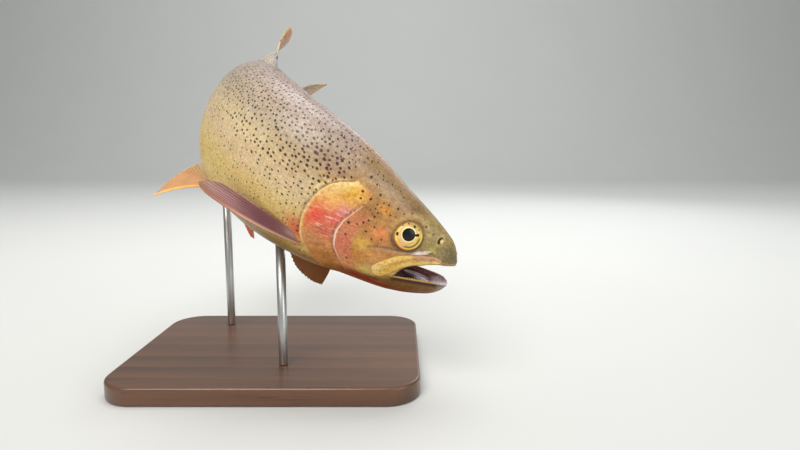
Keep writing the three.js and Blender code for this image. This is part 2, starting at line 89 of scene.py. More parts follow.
# Bony blade of the upper jaw: s, upper edge and lower edge
BLADE = [
    (9, -4.4, -7.4), (14, -3.1, -8.8), (20, -3.4, -11), (26, -4.9, -13.4), (32, -6.5, -17.2),
    (36, -8.1, -21.4), (40, -10, -26.6), (43.5, -13.1, -30), (47, -16.9, -31.6), (49.5, -19.4, -30.6),
    (52, -23.6, -27),
]
EYE = {"s": 38, "z": 6.1, "radius": 10.1, "depth": 3.8, "dome": 0.55, "sink": 1.3}
EYE_AXIS = (-0.24, 0.94, 0.3)

# ---- pose of the spine ----
SNOUT = np.array([140.0, -65.3, 103.8])
HEAD_YAW, HEAD_PITCH, HEAD_BANK = 0.8, 23.4, 15.5
# Degrees of bend to the left and of twist, at each s
SIDE_BEND = [(0, 0), (60, 0), (110, 16.6), (160, 40.7), (210, 57.9), (270, 72.5), (340, 92.4), (460, 93.8)]
DROOP, DROOP_START, DROOP_LENGTH, DROOP_LIMIT = -11.5, 100, 300, 1.3
TWIST = [(60, 0), (80, 0), (240, -7.3), (300, -10), (480, -31)]
SPINE_START, SPINE_END = -20, 500


def curve(knots):
    """Monotone cubic through (x, value) knots, running on straight outside them."""
    x = np.array([k[0] for k in knots], float)
    v = np.array([k[1] for k in knots], float)
    step = np.diff(x)
    slope = np.diff(v) / step
    m = np.zeros_like(v)
    m[0], m[-1] = slope[0], slope[-1]
    for i in range(1, len(x) - 1):
        if slope[i - 1] * slope[i] > 0:
            w1, w2 = 2 * step[i] + step[i - 1], step[i] + 2 * step[i - 1]
            m[i] = (w1 + w2) / (w1 / slope[i - 1] + w2 / slope[i])

    def at(t):
        t = np.asarray(t, float)
        i = np.clip(np.searchsorted(x, t, side="right") - 1, 0, len(x) - 2)
        h = step[i]
        u = (t - x[i]) / h
        inside = (v[i] * (1 + 2 * u) * (1 - u) ** 2 + m[i] * h * u * (1 - u) ** 2
                  + v[i + 1] * u * u * (3 - 2 * u) + m[i + 1] * h * u * u * (u - 1))
        low = v[0] + m[0] * (t - x[0])
        high = v[-1] + m[-1] * (t - x[-1])
        return np.where(t <= x[0], low, np.where(t >= x[-1], high, inside))
    return at


def column(table, k):
    return curve([(row[0], row[k]) for row in table])


back_at, mid_at, belly_at = (column(STATIONS, k) for k in (1, 2, 3))
jaw_rim_at, jaw_keel_at = (column(JAW_STATIONS, k) for k in (1, 2))
lip_at = curve(LIP_LINE)
bend_at = curve(SIDE_BEND)
twist_at = curve(TWIST)
gill_front_at = curve([(0, 68)] + GILL_FRONT + [(180, 66)])
gill_rear_at = curve([(0, 78)] + GILL_REAR + [(180, 72)])
blade_high_at, blade_low_at = column(BLADE, 1), column(BLADE, 2)


def rounded_tip(table, k, width_of):
    """Half width along the body, with the first stretch of the table rounded off like a ball."""
    (start, end), end_width = (row[0] for row in table[:2]), table[1][k]

    def at(s):
        s = np.asarray(s, float)
        ball = end_width * np.sqrt(np.clip(s - start, 0, None) / (end - start))
        return np.where(s < end, ball, width_of(s))
    return at


width_at = rounded_tip(STATIONS, 4, column(STATIONS, 4))
jaw_width_at = rounded_tip(JAW_STATIONS, 3, column(JAW_STATIONS, 3))


def smooth(low, high, x):
    """Even step from 0 at low to 1 at high."""
    t = np.clip((np.asarray(x, float) - low) / (high - low), 0, 1)
    return t * t * (3 - 2 * t)


def fall(low, high, x):
    """Even step from 1 at low to 0 at high."""
    return 1 - smooth(low, high, x)


def bell(x, centre, spread):
    """Hump of height 1 at the centre."""
    return np.exp(-(((np.asarray(x, float) - centre) / spread) ** 2))


def between(rise, top, fade_from, end, x):
    """Plateau of height 1 with even sides."""
    return smooth(rise, top, x) * fall(fade_from, end, x)


# ---- spine ----
def unit(v):
    return v / np.linalg.norm(v, axis=-1, keepdims=True)


yaw, pitch = math.radians(HEAD_YAW), math.radians(HEAD_PITCH)
FORWARD = np.array([math.cos(pitch) * math.cos(yaw), -math.cos(pitch) * math.sin(yaw), -math.sin(pitch)])
LEVEL_RIGHT = unit(np.cross(FORWARD, [0, 0, 1.0]))
LEVEL_UP = np.cross(LEVEL_RIGHT, FORWARD)
bank = math.radians(HEAD_BANK)
UP = LEVEL_UP * math.cos(bank) + np.cross(FORWARD, LEVEL_UP) * math.sin(bank)
RIGHT = np.cross(FORWARD, UP)


def tailward(s):
    """Direction of the spine towards the tail."""
    s = np.asarray(s, float)
    angle = np.radians(bend_at(s))[..., None]
    droop = math.radians(DROOP) * np.clip((s - DROOP_START) / DROOP_LENGTH, 0, DROOP_LIMIT)[..., None]
    level = -FORWARD * np.cos(angle) - RIGHT * np.sin(angle)
    return level * np.cos(droop) + UP * np.sin(droop)


steps = np.arange(SPINE_START, SPINE_END)
SPINE = np.vstack([[0, 0, 0], np.cumsum(tailward(steps + 0.5), axis=0)]) + SNOUT + tailward(0.0) * SPINE_START


def place(points):
    """Metres in the row frame from straight-fish millimetres."""
    points = np.asarray(points, float)
    s, y, z = points[..., 0], points[..., 1, None], points[..., 2, None]
    along = np.clip(s - SPINE_START, 0, len(SPINE) - 1.001)
    i = along.astype(int)
    f = (along - i)[..., None]
    p = SPINE[i] * (1 - f) + SPINE[i + 1] * f
    tail = tailward(s)
    turn = np.radians(twist_at(s))[..., None]
    level = unit(UP - tail * (tail @ UP)[..., None])
    side = np.cross(level, tail)
    up = level * np.cos(turn) + side * np.sin(turn)
    right = side * np.cos(turn) - level * np.sin(turn)
    return (p - right * y + up * z) / 1000


# ---- body surface ----
def nose_push(s, z):
    """How far the blunt front of the snout stands ahead of its section at height z."""
    return NOSE_PUSH * np.clip(-z, 0, NOSE_DEPTH) * fall(0, NOSE_LENGTH, s)


def surface(s, a, d=0.0):
    """Point of the plain body at s, a radians round from the back line and d outside it."""
    s, a = np.broadcast_arrays(np.asarray(s, float), np.asarray(a, float))
    mid = mid_at(s)
    half = np.where(np.cos(a) > 0, back_at(s) - mid, mid - belly_at(s)) + d
    z = mid + half * np.cos(a)
    return np.stack([s - nose_push(s, z), (width_at(s) + d) * np.sin(a), z], -1)


def angle_at_height(s, z):
    """Radians round from the back line to height z."""
    mid = mid_at(s)
    half = np.where(z > mid, back_at(s) - mid, mid - belly_at(s))
    return np.arccos(np.clip((z - mid) / half, -1, 1))


# ---- mesh helpers ----
SHEET_MERGE, SHORTEST_EDGE = 0.002, 1e-4


def linear(*rgb):
    """Linear colour from three numbers up to 255 as a colour picker shows them."""
    return tuple((c / 255 / 12.92 if c <= 10 else ((c / 255 + 0.055) / 1.055) ** 2.4) for c in rgb)


def face_outward(mesh):
    """Turn the faces over where bending the straight fish has left a mesh inside out."""
    points = read_points(mesh)
    mesh.calc_loop_triangles()
    corners = np.empty(len(mesh.loop_triangles) * 3, np.int32)
    mesh.loop_triangles.foreach_get("vertices", corners)
    a, b, c = points[corners.reshape(-1, 3).T]
    if np.sum(a * np.cross(b, c)) < 0:
        mesh.flip_normals()


def mesh_from(bm, name):
    """Finish a bmesh as a mesh."""
    mesh = bpy.data.meshes.new(name)
    bm.to_mesh(mesh)
    bm.free()
    return mesh


def link_new(name, data):
    """Object over that data, linked to the scene."""
    obj = bpy.data.objects.new(name, data)
    bpy.context.scene.collection.objects.link(obj)
    return obj


def new_object(name, mesh, material, node=None):
    """Add a finished piece with the given material, which replaces the given nodes."""
    face_outward(mesh)
    obj = link_new(name, mesh)
    mesh.materials.append(material)
    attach(obj, "root")
    if node:
        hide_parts(*([node] if isinstance(node, str) else node))
    return obj


def put_attribute(mesh, name, kind, values):
    layer = mesh.attributes.new(name, kind, "POINT")
    key = {"FLOAT_VECTOR": "vector", "FLOAT_COLOR": "color"}[kind]
    layer.data.foreach_set(key, np.ascontiguousarray(values, dtype=np.float32).ravel())


def put_columns(mesh, name, *columns):
    """Keep two or three numbers for each vertex as one vector attribute."""
    values = np.zeros((len(mesh.vertices), 3))
    for k, numbers in enumerate(columns):
        values[:, k] = numbers
    put_attribute(mesh, name, "FLOAT_VECTOR", values)


def put_tint(mesh, rgb):
    opaque = np.concatenate([np.clip(rgb, 0, 1), np.ones((len(rgb), 1))], -1)
    put_attribute(mesh, "tint", "FLOAT_COLOR", opaque)


def read_points(mesh):
    """Points of the mesh, one row each."""
    out = np.empty(len(mesh.vertices) * 3)
    mesh.vertices.foreach_get("co", out)
    return out.reshape(-1, 3)


def shade_smooth(mesh):
    mesh.polygons.foreach_set("use_smooth", np.ones(len(mesh.polygons), bool))


def bend_to_pose(mesh, flat):
    """Move a mesh of straight-fish points onto the bent spine and keep the straight ones as flat_co."""
    put_attribute(mesh, "flat_co", "FLOAT_VECTOR", flat)
    mesh.vertices.foreach_set("co", place(flat).ravel())


def mesh_from_sheets(name, sheets):
    """Join sheets of straight-fish points into one closed mesh on the bent spine.

    Each sheet is (points, unwrap, extra). The extra number is kept as the attribute inside.
    """
    bm = bmesh.new()
    unwrap = bm.loops.layers.uv.new("OFBake")
    inside = bm.verts.layers.float.new("inside")
    for flat, bake, extra in sheets:
        rows, cols = flat.shape[:2]
        made = bmesh.ops.create_grid(bm, x_segments=cols - 1, y_segments=rows - 1, size=1.0)["verts"]
        points, bakes = flat.reshape(-1, 3).tolist(), bake.reshape(-1, 2).tolist()
        extras = np.broadcast_to(extra, (rows, cols)).ravel().tolist()
        for v, p, e, uv in zip(made, points, extras, bakes):
            v.co = p
            v[inside] = e
            for loop in v.link_loops:
                loop[unwrap].uv = uv
    bmesh.ops.remove_doubles(bm, verts=bm.verts[:], dist=SHEET_MERGE)
    bmesh.ops.dissolve_degenerate(bm, dist=SHORTEST_EDGE, edges=bm.edges[:])
    bmesh.ops.recalc_face_normals(bm, faces=bm.faces[:])
    mesh = mesh_from(bm, name)
    flat = read_points(mesh)
    bend_to_pose(mesh, flat)
    mesh.update()
    shade_smooth(mesh)
    return mesh, flat


def read_float(mesh, name):
    """Values of one number attribute."""
    out = np.empty(len(mesh.vertices))
    mesh.attributes[name].data.foreach_get("value", out)
    return out


# ---- node helpers ----
class Nodes:
    """Short calls for the nodes of one material."""

    MIX_FACTOR, MIX_A, MIX_B, MIX_RESULT = 0, 6, 7, 2

    def __init__(self, name, **sockets):
        self.material = bpy.data.materials.new(name)
        self.material.use_nodes = True
        self.tree = self.material.node_tree
        self.shader = self.tree.nodes["Principled BSDF"]
        self.set(**sockets)

    def node(self, kind, **settings):
        made = self.tree.nodes.new(kind)
        for key, value in settings.items():
            setattr(made, key, value)
        return made

    def plug(self, value, socket):
        if isinstance(value, bpy.types.NodeSocket):
            self.tree.links.new(value, socket)
        else:
            socket.default_value = value

    def made_from(self, where, kind, sockets, **settings):
        """A texture or mapping node read at where, with its numbers set by socket name."""
        made = self.node(kind, **settings)
        self.plug(where, made.inputs["Vector"])
        for key, value in sockets.items():
            made.inputs[key].default_value = value
        return made

    def attribute(self, name, output="Vector"):
        return self.node("ShaderNodeAttribute", attribute_name=name).outputs[output]

    def object_place(self):
        return self.node("ShaderNodeTexCoord").outputs["Object"]

    def math(self, operation, *values):
        made = self.node("ShaderNodeMath", operation=operation)
        for value, socket in zip(values, made.inputs):
            self.plug(value, socket)
        return made.outputs[0]

    def times(self, *values):
        product = values[0]
        for value in values[1:]:
            product = self.math("MULTIPLY", product, value)
        return product

    def wave(self, angle):
        """Cosine of the angle, brought into 0 to 1."""
        return self.math("MULTIPLY_ADD", self.math("COSINE", angle), 0.5, 0.5)

    def vector(self, operation, a, b=None, scale=None):
        made = self.node("ShaderNodeVectorMath", operation=operation)
        self.plug(a, made.inputs[0])
        if b is not None:
            self.plug(b, made.inputs[1])
        if scale is not None:
            self.plug(scale, made.inputs["Scale"])
        return made.outputs[0]

    def noise(self, where, scale, detail=3.0, rough=0.5):
        sockets = {"Scale": scale, "Detail": detail, "Roughness": rough}
        return self.made_from(where, "ShaderNodeTexNoise", sockets).outputs["Fac"]

    def mapped(self, where, **sockets):
        return self.made_from(where, "ShaderNodeMapping", sockets).outputs[0]

    def cells(self, where, scale):
        return self.made_from(where, "ShaderNodeTexVoronoi", {"Scale": scale})

    def fade(self, value, low, high, to_low=0.0, to_high=1.0):
        """Even step of the value from to_low at low to to_high at high."""
        made = self.node("ShaderNodeMapRange", interpolation_type="SMOOTHSTEP")
        keys = ("Value", "From Min", "From Max", "To Min", "To Max")
        for key, number in zip(keys, (value, low, high, to_low, to_high)):
            self.plug(number, made.inputs[key])
        return made.outputs[0]

    def near(self, value, centre, outer, inner, to_high=1.0):
        """Band that is full within inner of the centre and gone at outer."""
        away = self.math("ABSOLUTE", self.math("SUBTRACT", value, centre))
        return self.fade(away, outer, inner, 0.0, to_high)

    def mix(self, factor, a, b, blend="MIX"):
        made = self.node("ShaderNodeMix", data_type="RGBA", blend_type=blend)
        a, b = ((*c, 1) if isinstance(c, tuple) else c for c in (a, b))
        for value, k in ((factor, self.MIX_FACTOR), (a, self.MIX_A), (b, self.MIX_B)):
            self.plug(value, made.inputs[k])
        return made.outputs[self.MIX_RESULT]

    def split(self, vector):
        made = self.node("ShaderNodeSeparateXYZ")
        self.plug(vector, made.inputs[0])
        return made.outputs

    def bump(self, height, distance, strength):
        made = self.node("ShaderNodeBump")
        for key, value in (("Height", height), ("Distance", distance), ("Strength", strength)):
            self.plug(value, made.inputs[key])
        return made.outputs[0]

    def set(self, **sockets):
        for key, value in sockets.items():
            self.plug(value, self.shader.inputs[key.replace("_", " ")])
        return self.material


# ---- colours of the living fish, by place on the body ----
NOSTRIL = (15.9, 8.4, 1.9)      # s, z and radius
SLASH = (68, -37.5, -0.085)     # s, z and slope of the red slash
eye_fold_at = curve([(12, -2.6), (20, -1.6), (29.5, -3.4), (39.5, -5.6), (49, -6.6), (60, -9.2)])
# Dark spots of the cheek and the snout: s, z and radius
CHEEK_SPOTS = [
    (51, 16, 0.5), (51.5, 21, 0.8), (53.5, -1.5, 0.8), (54.5, 16, 0.7), (58, 21.5, 0.7), (58, 17.5, 0.6),
    (59.5, -3.5, 0.8), (61, 5.5, 0.8), (61, 9, 0.5), (61.5, 22, 0.6), (62, 19, 0.6), (62.5, 15, 0.8),
    (63.5, 12, 0.9), (62.5, -16, 0.6), (65, 0.5, 0.9), (65, 17, 0.7), (65, 20, 0.7), (65.5, 13.5, 0.6),
    (65.5, 26, 0.9), (66, 8.5, 0.9), (67.5, 15.5, 0.6), (68.5, 6, 0.9), (70, -24.5, 0.9), (70, 22, 0.9),
    (70, 12.5, 0.5), (70, 31, 0.7), (71.5, 3.5, 0.8), (72.5, 17, 0.6), (75, 34, 0.9), (75.5, -6.5, 0.9),
    (75.5, 20.5, 0.8), (76, 25, 0.9), (76.5, 2.5, 1.1), (29, 15, 0.7), (22.5, 11.5, 0.5), (26, 12.2, 0.4),
    (32, 18.5, 0.4), (41.5, 20.5, 0.6), (46.5, 19, 0.6),
]


class Paint:
    """Colour at each point of a mesh, built up from washes."""

    def __init__(self, ground, count):
        self.rgb = np.broadcast_to(np.array(ground), (count, 3))

    def lay(self, colour, weight):
        """Lay a linear colour over the rest with a weight from 0 to 1 at each point."""
        weight = np.clip(weight, 0, 1)[..., None]
        self.rgb = self.rgb * (1 - weight) + np.array(colour) * weight
        return self.rgb

    def wash(self, rgb, weight):
        """Lay a colour given as a colour picker shows it."""
        return self.lay(linear(*rgb), weight)


class BodyPaint(Paint):
    """Paint for the body, which knows each point's place on the straight fish."""

    def __init__(self, ground, flat):
        super().__init__(ground, len(flat))
        self.s, self.z, self.deg = flat[:, 0], flat[:, 2], girth_degrees(flat)

    def patch(self, rgb, strength, centre, size, tilt=0.0):
        """Soft oval patch at centre (s, z)."""
        self.wash(rgb, strength * patch(self.s, self.z, centre, size, tilt))


def girth_degrees(flat):
    """Degrees round the body from the back line to each point, alike on both sides."""
    s, y, z = flat[..., 0], np.abs(flat[..., 1]), flat[..., 2]
    mid = mid_at(s)
    half = np.where(z > mid, back_at(s) - mid, mid - belly_at(s))
    return np.degrees(np.arctan2(y / np.maximum(width_at(s), 0.5), (z - mid) / half))


def patch(s, z, centre, size, tilt=0.0):
    """Oval hump of height 1 at the centre, with its long side turned by tilt degrees."""
    c, t = math.cos(math.radians(tilt)), math.sin(math.radians(tilt))
    x, h = s - centre[0], z - centre[1]
    return np.exp(-(((x * c + h * t) / size[0]) ** 2) - ((h * c - x * t) / size[1]) ** 2)


def body_tint(flat, look):
    """Colours of the living fish by place on the body."""
    paint = BodyPaint(look.back[:3], flat)
    paint_trunk(paint, look)
    paint_head(paint)
    paint_gill_cover(paint)
    paint_under_head(paint)
    paint_face(paint)
    return paint.rgb


def paint_trunk(paint, look):
    """Back, side and belly."""
    s, deg = paint.s, paint.deg
    paint.lay(look.shoulder[:3], smooth(14, 50, deg))
    paint.lay(look.flank[:3], smooth(46, 76, deg))
    paint.lay(look.low_flank[:3], smooth(82, 112, deg))
    paint.lay(look.belly[:3], smooth(134, 162, deg))
    trunk = smooth(96, 112, s)
    paint.lay(look.band[:3], 0.16 * bell(deg, 84, 12) * trunk)
    paint.wash((150, 138, 126), 0.5 * smooth(150, 240, s) * fall(60, 96, deg))
    paint.wash((176, 138, 96), 0.55 * patch(s, deg, (112, 66), (16, 14)))
    paint.wash((186, 140, 80), 0.8 * bell(deg, 122, 14) * trunk * fall(128, 190, s))
    # Brown low sides and underside: partly the fish's own colour, partly painted shade
    low = smooth(128, 146, deg) * (1 - 0.4 * smooth(166, 180, deg))
    paint.wash((142, 102, 46), 0.85 * low * between(74, 92, 140, 240, s))
    paint.patch((160, 124, 96), 0.7, (98, 33), (20, 7), 25)
    paint.patch((226, 96, 58), 0.95, (103, -19), (6, 9), -30)


def paint_head(paint):
    """Crown, snout and cheeks."""
    s, deg = paint.s, paint.deg
    head = fall(88, 104, s + 10 * (deg < 60))
    paint.wash((150, 124, 88), head * fall(24, 50, deg))
    paint.wash((164, 140, 120), 0.6 * head * fall(6, 20, deg))
    paint.patch((116, 88, 48), 0.85, (36.5, 20), (13, 5.5), 25)
    paint.wash((172, 130, 76), head * between(30, 54, 112, 132, deg))
    paint.wash((154, 136, 88), fall(22, 40, s) * fall(112, 128, deg))
    # Darker olive snout tip: partly its own colour, partly painted shade
    paint.wash((104, 97, 60), 0.8 * fall(4, 15, s) * smooth(20, 60, deg))
    paint.patch((196, 188, 92), 0.75, (19.5, 1.0), (3.2, 2.6))
    paint.patch((196, 132, 66), 0.8, (60, -4), (17, 15), -15)
    paint.patch((160, 110, 60), 0.6, (70, 13), (8, 7), 20)
    paint.patch((222, 150, 54), 0.85, (58.5, 18), (4.6, 2.8), 20)
    paint.patch((244, 146, 88), 0.85, (56, 2.4), (5.5, 4.2))
    paint.patch((232, 184, 78), 0.85, (64, -10), (5.5, 5.5))
    paint.patch((206, 142, 80), 0.8, (50, -13), (10, 4.5), -10)
    paint.patch((206, 132, 56), 0.85, (65, -21), (8, 7), -20)
    paint.patch((240, 180, 108), 0.6, (53, -17), (7, 4), -10)


def paint_gill_cover(paint):
    """Gill cover with its rose and orange, its rim, the bone in front of it and painted shade in the grooves
    along both its edges.
    """
    s, z, deg = paint.s, paint.z, paint.deg
    front, rear = gill_front_at(deg), gill_rear_at(deg)
    window = between(50, 58, 150, 158, deg)
    along = (s - front) / np.maximum(rear - front, 1)
    cover = smooth(-0.06, 0.06, along) * fall(1.0, 1.02, along) * window
    paint.wash((224, 154, 84), cover)
    paint.patch((232, 180, 72), 0.95 * cover, (82, 22), (11, 9), 20)
    paint.patch((244, 190, 110), 0.8 * cover, (90, 13), (6, 6))
    paint.patch((232, 78, 58), cover, (94.5, -2), (6.5, 9.5), 12)
    paint.patch((232, 104, 100), 0.95 * cover, (84, 1), (6, 9), 20)
    paint.patch((222, 146, 150), 0.75 * cover, (80, 9), (4, 4))
    paint.patch((206, 90, 74), 0.9 * cover, (87, -11), (8, 6), 20)
    paint.patch((196, 132, 84), 0.85 * cover, (92, -20), (8, 7))
    paint.patch((166, 104, 44), 0.9 * cover, (82, -29), (12, 7))
    paint.wash((248, 222, 150), 0.75 * cover * smooth(0.9, 0.98, along) * fall(118, 140, deg))
    paint.wash((246, 220, 150), 0.9 * cover * smooth(0.5, 0.82, along) * fall(60, 82, deg))
    bone = between(-12, -9, -0.4, 0.2, s - front) * between(66, 84, 132, 146, deg)
    paint.wash((218, 132, 96), 0.75 * bone)
    paint.wash((214, 116, 96), 0.75 * bone * bell(z, -14, 8))
    # Painted shade in the groove along the cover's front edge
    paint.wash((120, 66, 56), 0.65 * bell(s - front, 1.0, 0.6) * between(62, 70, 118, 134, deg))
    paint.wash((250, 228, 160), 0.6 * bell(s - rear, 3.0, 1.0) * window * fall(74, 90, deg))
    # Painted shade in the groove behind the cover's rear edge
    paint.wash((118, 88, 70), 0.55 * bell(s - rear, 1.1, 0.8) * window)


def paint_under_head(paint):
    """Underside of the head, the lower jaw and the red slash beside the throat."""
    s, z, deg = paint.s, paint.z, paint.deg
    paint.wash((138, 84, 36), fall(74, 100, s) * smooth(128, 142, deg))
    paint.patch((98, 60, 26), 0.85, (46, -35.5), (13, 2.4), -3)
    below = jaw_rim_at(np.minimum(s, MOUTH_DEPTH)) - z
    lower = (below > -1.2) * fall(32, 50, s)
    paint.wash((196, 156, 82), lower)
    paint.wash((60, 34, 12), lower * smooth(0.8, 1.6, below))
    paint.wash((116, 80, 28), lower * smooth(3.4, 5.4, below))
    paint.wash((126, 72, 30), lower * smooth(8.0, 11.0, below))
    paint.wash((150, 128, 98), 0.8 * lower * fall(0, 6, s))
    paint.wash((216, 210, 236), lower * fall(1, 7, s) * fall(0.8, 2.0, below))
    paint.wash((146, 18, 6), 0.95 * bell(z, slash_height(s), 1.9) * between(26, 42, 60, 74, s))


def slash_height(s):
    return SLASH[1] - (s - SLASH[0]) * SLASH[2]


def paint_face(paint):
    """Folds of skin, the eye sockets and the nostrils, with painted shade in the fold under the eye, under
    each eye and in the nostrils' holes, and painted highlights beside that fold and over the lip.
    """
    s, z = paint.s, paint.z
    # Painted shade in the fold under the eye, and a painted highlight along its lower side
    paint.wash((92, 66, 68), 0.85 * bell(z, eye_fold_at(s), 0.65) * between(12, 18, 58, 66, s))
    paint.wash((206, 176, 152), 0.4 * bell(z, eye_fold_at(s) - 1.7, 0.9) * between(26, 34, 52, 62, s))
    # Painted highlight: a near-white patch over the upper lip
    pale = patch(s, z, (24.8, -3.0), (5.2, 1.25), -25)
    paint.wash((255, 240, 238), pale ** 0.5 * (pale > 0.2))
    paint.wash((182, 140, 92), 0.85 * fall(8, 16, s) * bell(z, lip_at(s) + 0.8, 1.5))
    ring, over_eye = np.hypot(s - EYE["s"], z - EYE["z"]), z - EYE["z"]
    paint.wash((112, 94, 48), 0.9 * bell(ring, 10.3, 0.7))
    # Painted shadow under the eye
    paint.wash((90, 62, 56), 0.7 * bell(ring, 11.0, 0.9) * smooth(2, -6, over_eye))
    paint.wash((196, 172, 112), 0.45 * bell(ring, 13.6, 1.6) * smooth(-4, 6, over_eye))
    hole, flap, radius = *nostril_distances(s, z), NOSTRIL[2]
    paint.wash((200, 176, 116), 0.6 * bell(hole, radius * 1.35, 0.6) * (z > 0))
    # Painted shade in the nostril's hole
    paint.wash((18, 10, 8), fall(radius * 0.8, radius * 1.08, hole) * (z > 0))
    paint.wash((240, 208, 136), fall(1.0, 1.35, flap) * (z > 0))


def nostril_distances(s, z):
    """Distances from the nostril's hole and from the flap in front of it."""
    hole = np.hypot(s - NOSTRIL[0], (z - NOSTRIL[1]) / 1.25)
    return hole, np.hypot((s - NOSTRIL[0] + 1.0) / 0.8, (z - NOSTRIL[1] + 0.35) / 1.15)


def spot_share(flat):
    """How many of the body's cells carry a dark spot, from 0 to 1."""
    s, z = flat[..., 0], flat[..., 2]
    deg = girth_degrees(flat)
    trunk = 0.95 - smooth(48, 80, deg) * (0.3 + 0.2 * smooth(110, 160, s))
    trunk = trunk - 0.15 * smooth(84, 126, deg) - 0.25 * smooth(118, 140, deg)
    trunk = trunk + 0.3 * patch(s, z, (98, 33), (14, 7), 25)
    head = 0.5 * fall(26, 50, deg) * smooth(40, 76, s)
    behind_cover = smooth(86, 98, s + 6 * (deg < 52)) * (s > gill_rear_at(deg) + 1)
    share = head + (trunk - head) * behind_cover + 0.35 * smooth(260, 330, s) * fall(120, 150, deg)
    return np.clip(share, 0, 1)


def spot_size(flat):
    s, z = flat[..., 0], flat[..., 2]
    deg = girth_degrees(flat)
    size = 0.96 + 0.14 * bell(deg, 66, 22) * fall(150, 210, s) - 0.22 * smooth(72, 104, deg)
    size = size + 0.3 * patch(s, z, (98, 33), (16, 9), 25)
    return size * (0.75 + 0.25 * smooth(80, 96, s))


def lone_spots(flat):
    """Distance in millimetres to the edge of the nearest of the cheek's own spots."""
    s, z = flat[..., 0], flat[..., 2]
    left = flat[..., 1] > 0
    s, z = s + left * 1.2 * np.sin(z * 0.35), z + left * 1.1 * np.sin(s * 0.3)
    near = np.full(s.shape, 3.0)
    for centre_s, centre_z, radius in CHEEK_SPOTS:
        near = np.minimum(near, np.hypot(s - centre_s, z - centre_z) - radius)
    return near


# ---- skin ----
COAT_DEPTH = 0.3
TOP_COLUMNS, LOW_COLUMNS = 190, 110
SNOUT_ROWS = [0, 0.04, 0.14, 0.3, 0.55, 0.9, 1.3]
UPPER_ROWS = np.concatenate([SNOUT_ROWS, np.arange(1.8, 25, 0.5), np.linspace(25.2, MOUTH_DEPTH, 19)])
CHIN_ROWS = [-3.2, -3.17, -3.08, -2.9, -2.65, -2.3, -1.9]
JAW_ROWS = np.concatenate([CHIN_ROWS, np.arange(-1.4, 25, 0.55), np.linspace(25.3, MOUTH_DEPTH, 18)])
COVER_START, EVEN_EDGE, COVER_END = 60, 96, 130
STEM_END = [(1.5, 0.86), (3.5, 0.66), (6, 0.45), (9, 0.27), (12, 0.14), (13.5, 0.0)]
RIM_SHARE = 0.9999
ARC_PARTS = 24


def wrapped(a):
    """The same angle between half a turn back and half a turn forward."""
    return (a + math.pi) % (2 * math.pi) - math.pi


def relief(s, a, jaw=False):
    """Height of the skin over the plain body form."""
    deg = np.degrees(np.abs(wrapped(a)))
    point = surface(s, a)
    y, z = np.abs(point[..., 1]), point[..., 2]
    height = gill_relief(s, deg) + face_relief(s, z) + throat_relief(s, y, z, deg)
    if not jaw:
        over_lip = z - lip_at(s)
        fold = 0.35 * bell(over_lip, 0.9, 0.9) - 0.3 * bell(over_lip, 2.6, 0.7)
        height += np.where(s < MOUTH_DEPTH, fold * fall(30, 36, s), 0)
    # Skin sinks under the scales
    nape = 90 - 8 * fall(30, 60, deg)
    return height - COAT_DEPTH * smooth(nape + 6, nape + 16, s)


def gill_relief(s, deg):
    """The raised gill cover, the grooves at both its edges and the seam across it."""
    front, rear = gill_front_at(deg), gill_rear_at(deg)
    along = np.clip((s - front) / np.maximum(rear - front, 1), 0, 1)
    on_cover = (s >= front) & (s <= rear + 0.02)
    height = on_cover * (0.2 + 1.45 * along ** 0.7)
    height += (s < front) * 0.5 * np.exp(-np.clip(front - s, 0, None) / 3.2)
    height -= 0.42 * bell(s, front + 0.7, 0.9)
    height -= 0.35 * bell(s, rear + 1.3, 0.9) * (s > rear + 0.1)
    seam = bell(deg, 113 + (s - 82) * 0.8, 1.3) * smooth(0.05, 0.2, along) * fall(0.8, 0.95, along)
    return height * between(47, 58, 149, 158, deg) - 0.3 * seam * on_cover


def face_relief(s, z):
    """Bones round the eye, the cheek, the nostril with its flap and the fold under the eye."""
    ring = np.hypot(s - EYE["s"], z - EYE["z"])
    height = 0.45 * bell(ring, 11.4, 1.0) - 0.2 * bell(ring, 10.2, 0.5)
    height += 0.3 * bell(ring, 17.5, 2.4) * fall(0, 10, z) * smooth(30, 40, s)
    height -= 0.22 * bell(ring, 21.5, 0.8) * fall(4, 12, z) * between(40, 48, 58, 64, s)
    height += 0.5 * patch(s, z, (62, -16), (8, 10), -15)
    hole, flap, radius = *nostril_distances(s, z), NOSTRIL[2]
    pit = 0.3 * bell(hole, radius * 1.3, 0.5) - 0.9 * fall(radius * 0.7, radius * 1.1, hole)
    height += (pit + 1.25 * fall(0.5, 1.4, flap)) * (z > 0)
    height -= 0.42 * bell(z, eye_fold_at(s), 0.6) * between(12, 18, 58, 66, s)
    return height + 0.3 * bell(z, eye_fold_at(s) - 1.8, 1.0) * between(16, 26, 52, 62, s)


def throat_relief(s, y, z, deg):
    """Folds of the throat and the rays under it."""
    height = -0.7 * bell(z, slash_height(s) + 2.2, 0.9) * between(35, 40, 70, 82, s)
    height -= 0.55 * bell(deg, 157 + (67 - s) * 0.6, 2.0) * between(38, 46, 66, 76, s)
    rays = 0.5 + 0.5 * np.cos(2 * math.pi * (y - 0.1 * s) / 3.1)
    height -= 0.3 * rays * between(141, 148, 160, 168, deg) * between(46, 54, 66, 78, s)
    return height - 0.4 * bell(y, 0.36 * width_at(s), 0.9) * smooth(150, 160, deg) * fall(40, 52, s)


def bake_place(s, a):
    """Place on the unwrap of the body: along it, and round it from the back."""
    return np.stack([0.02 + 0.95 * (s + 5) / 442, 0.02 + 0.6 * (a + 2.3) / 6.7], -1)


def chart(rows, cols, u_range, v_range):
    """Even rectangle on the unwrap."""
    u, v = np.meshgrid(np.linspace(*u_range, rows), np.linspace(*v_range, cols), indexing="ij")
    return np.stack([u, v], -1)


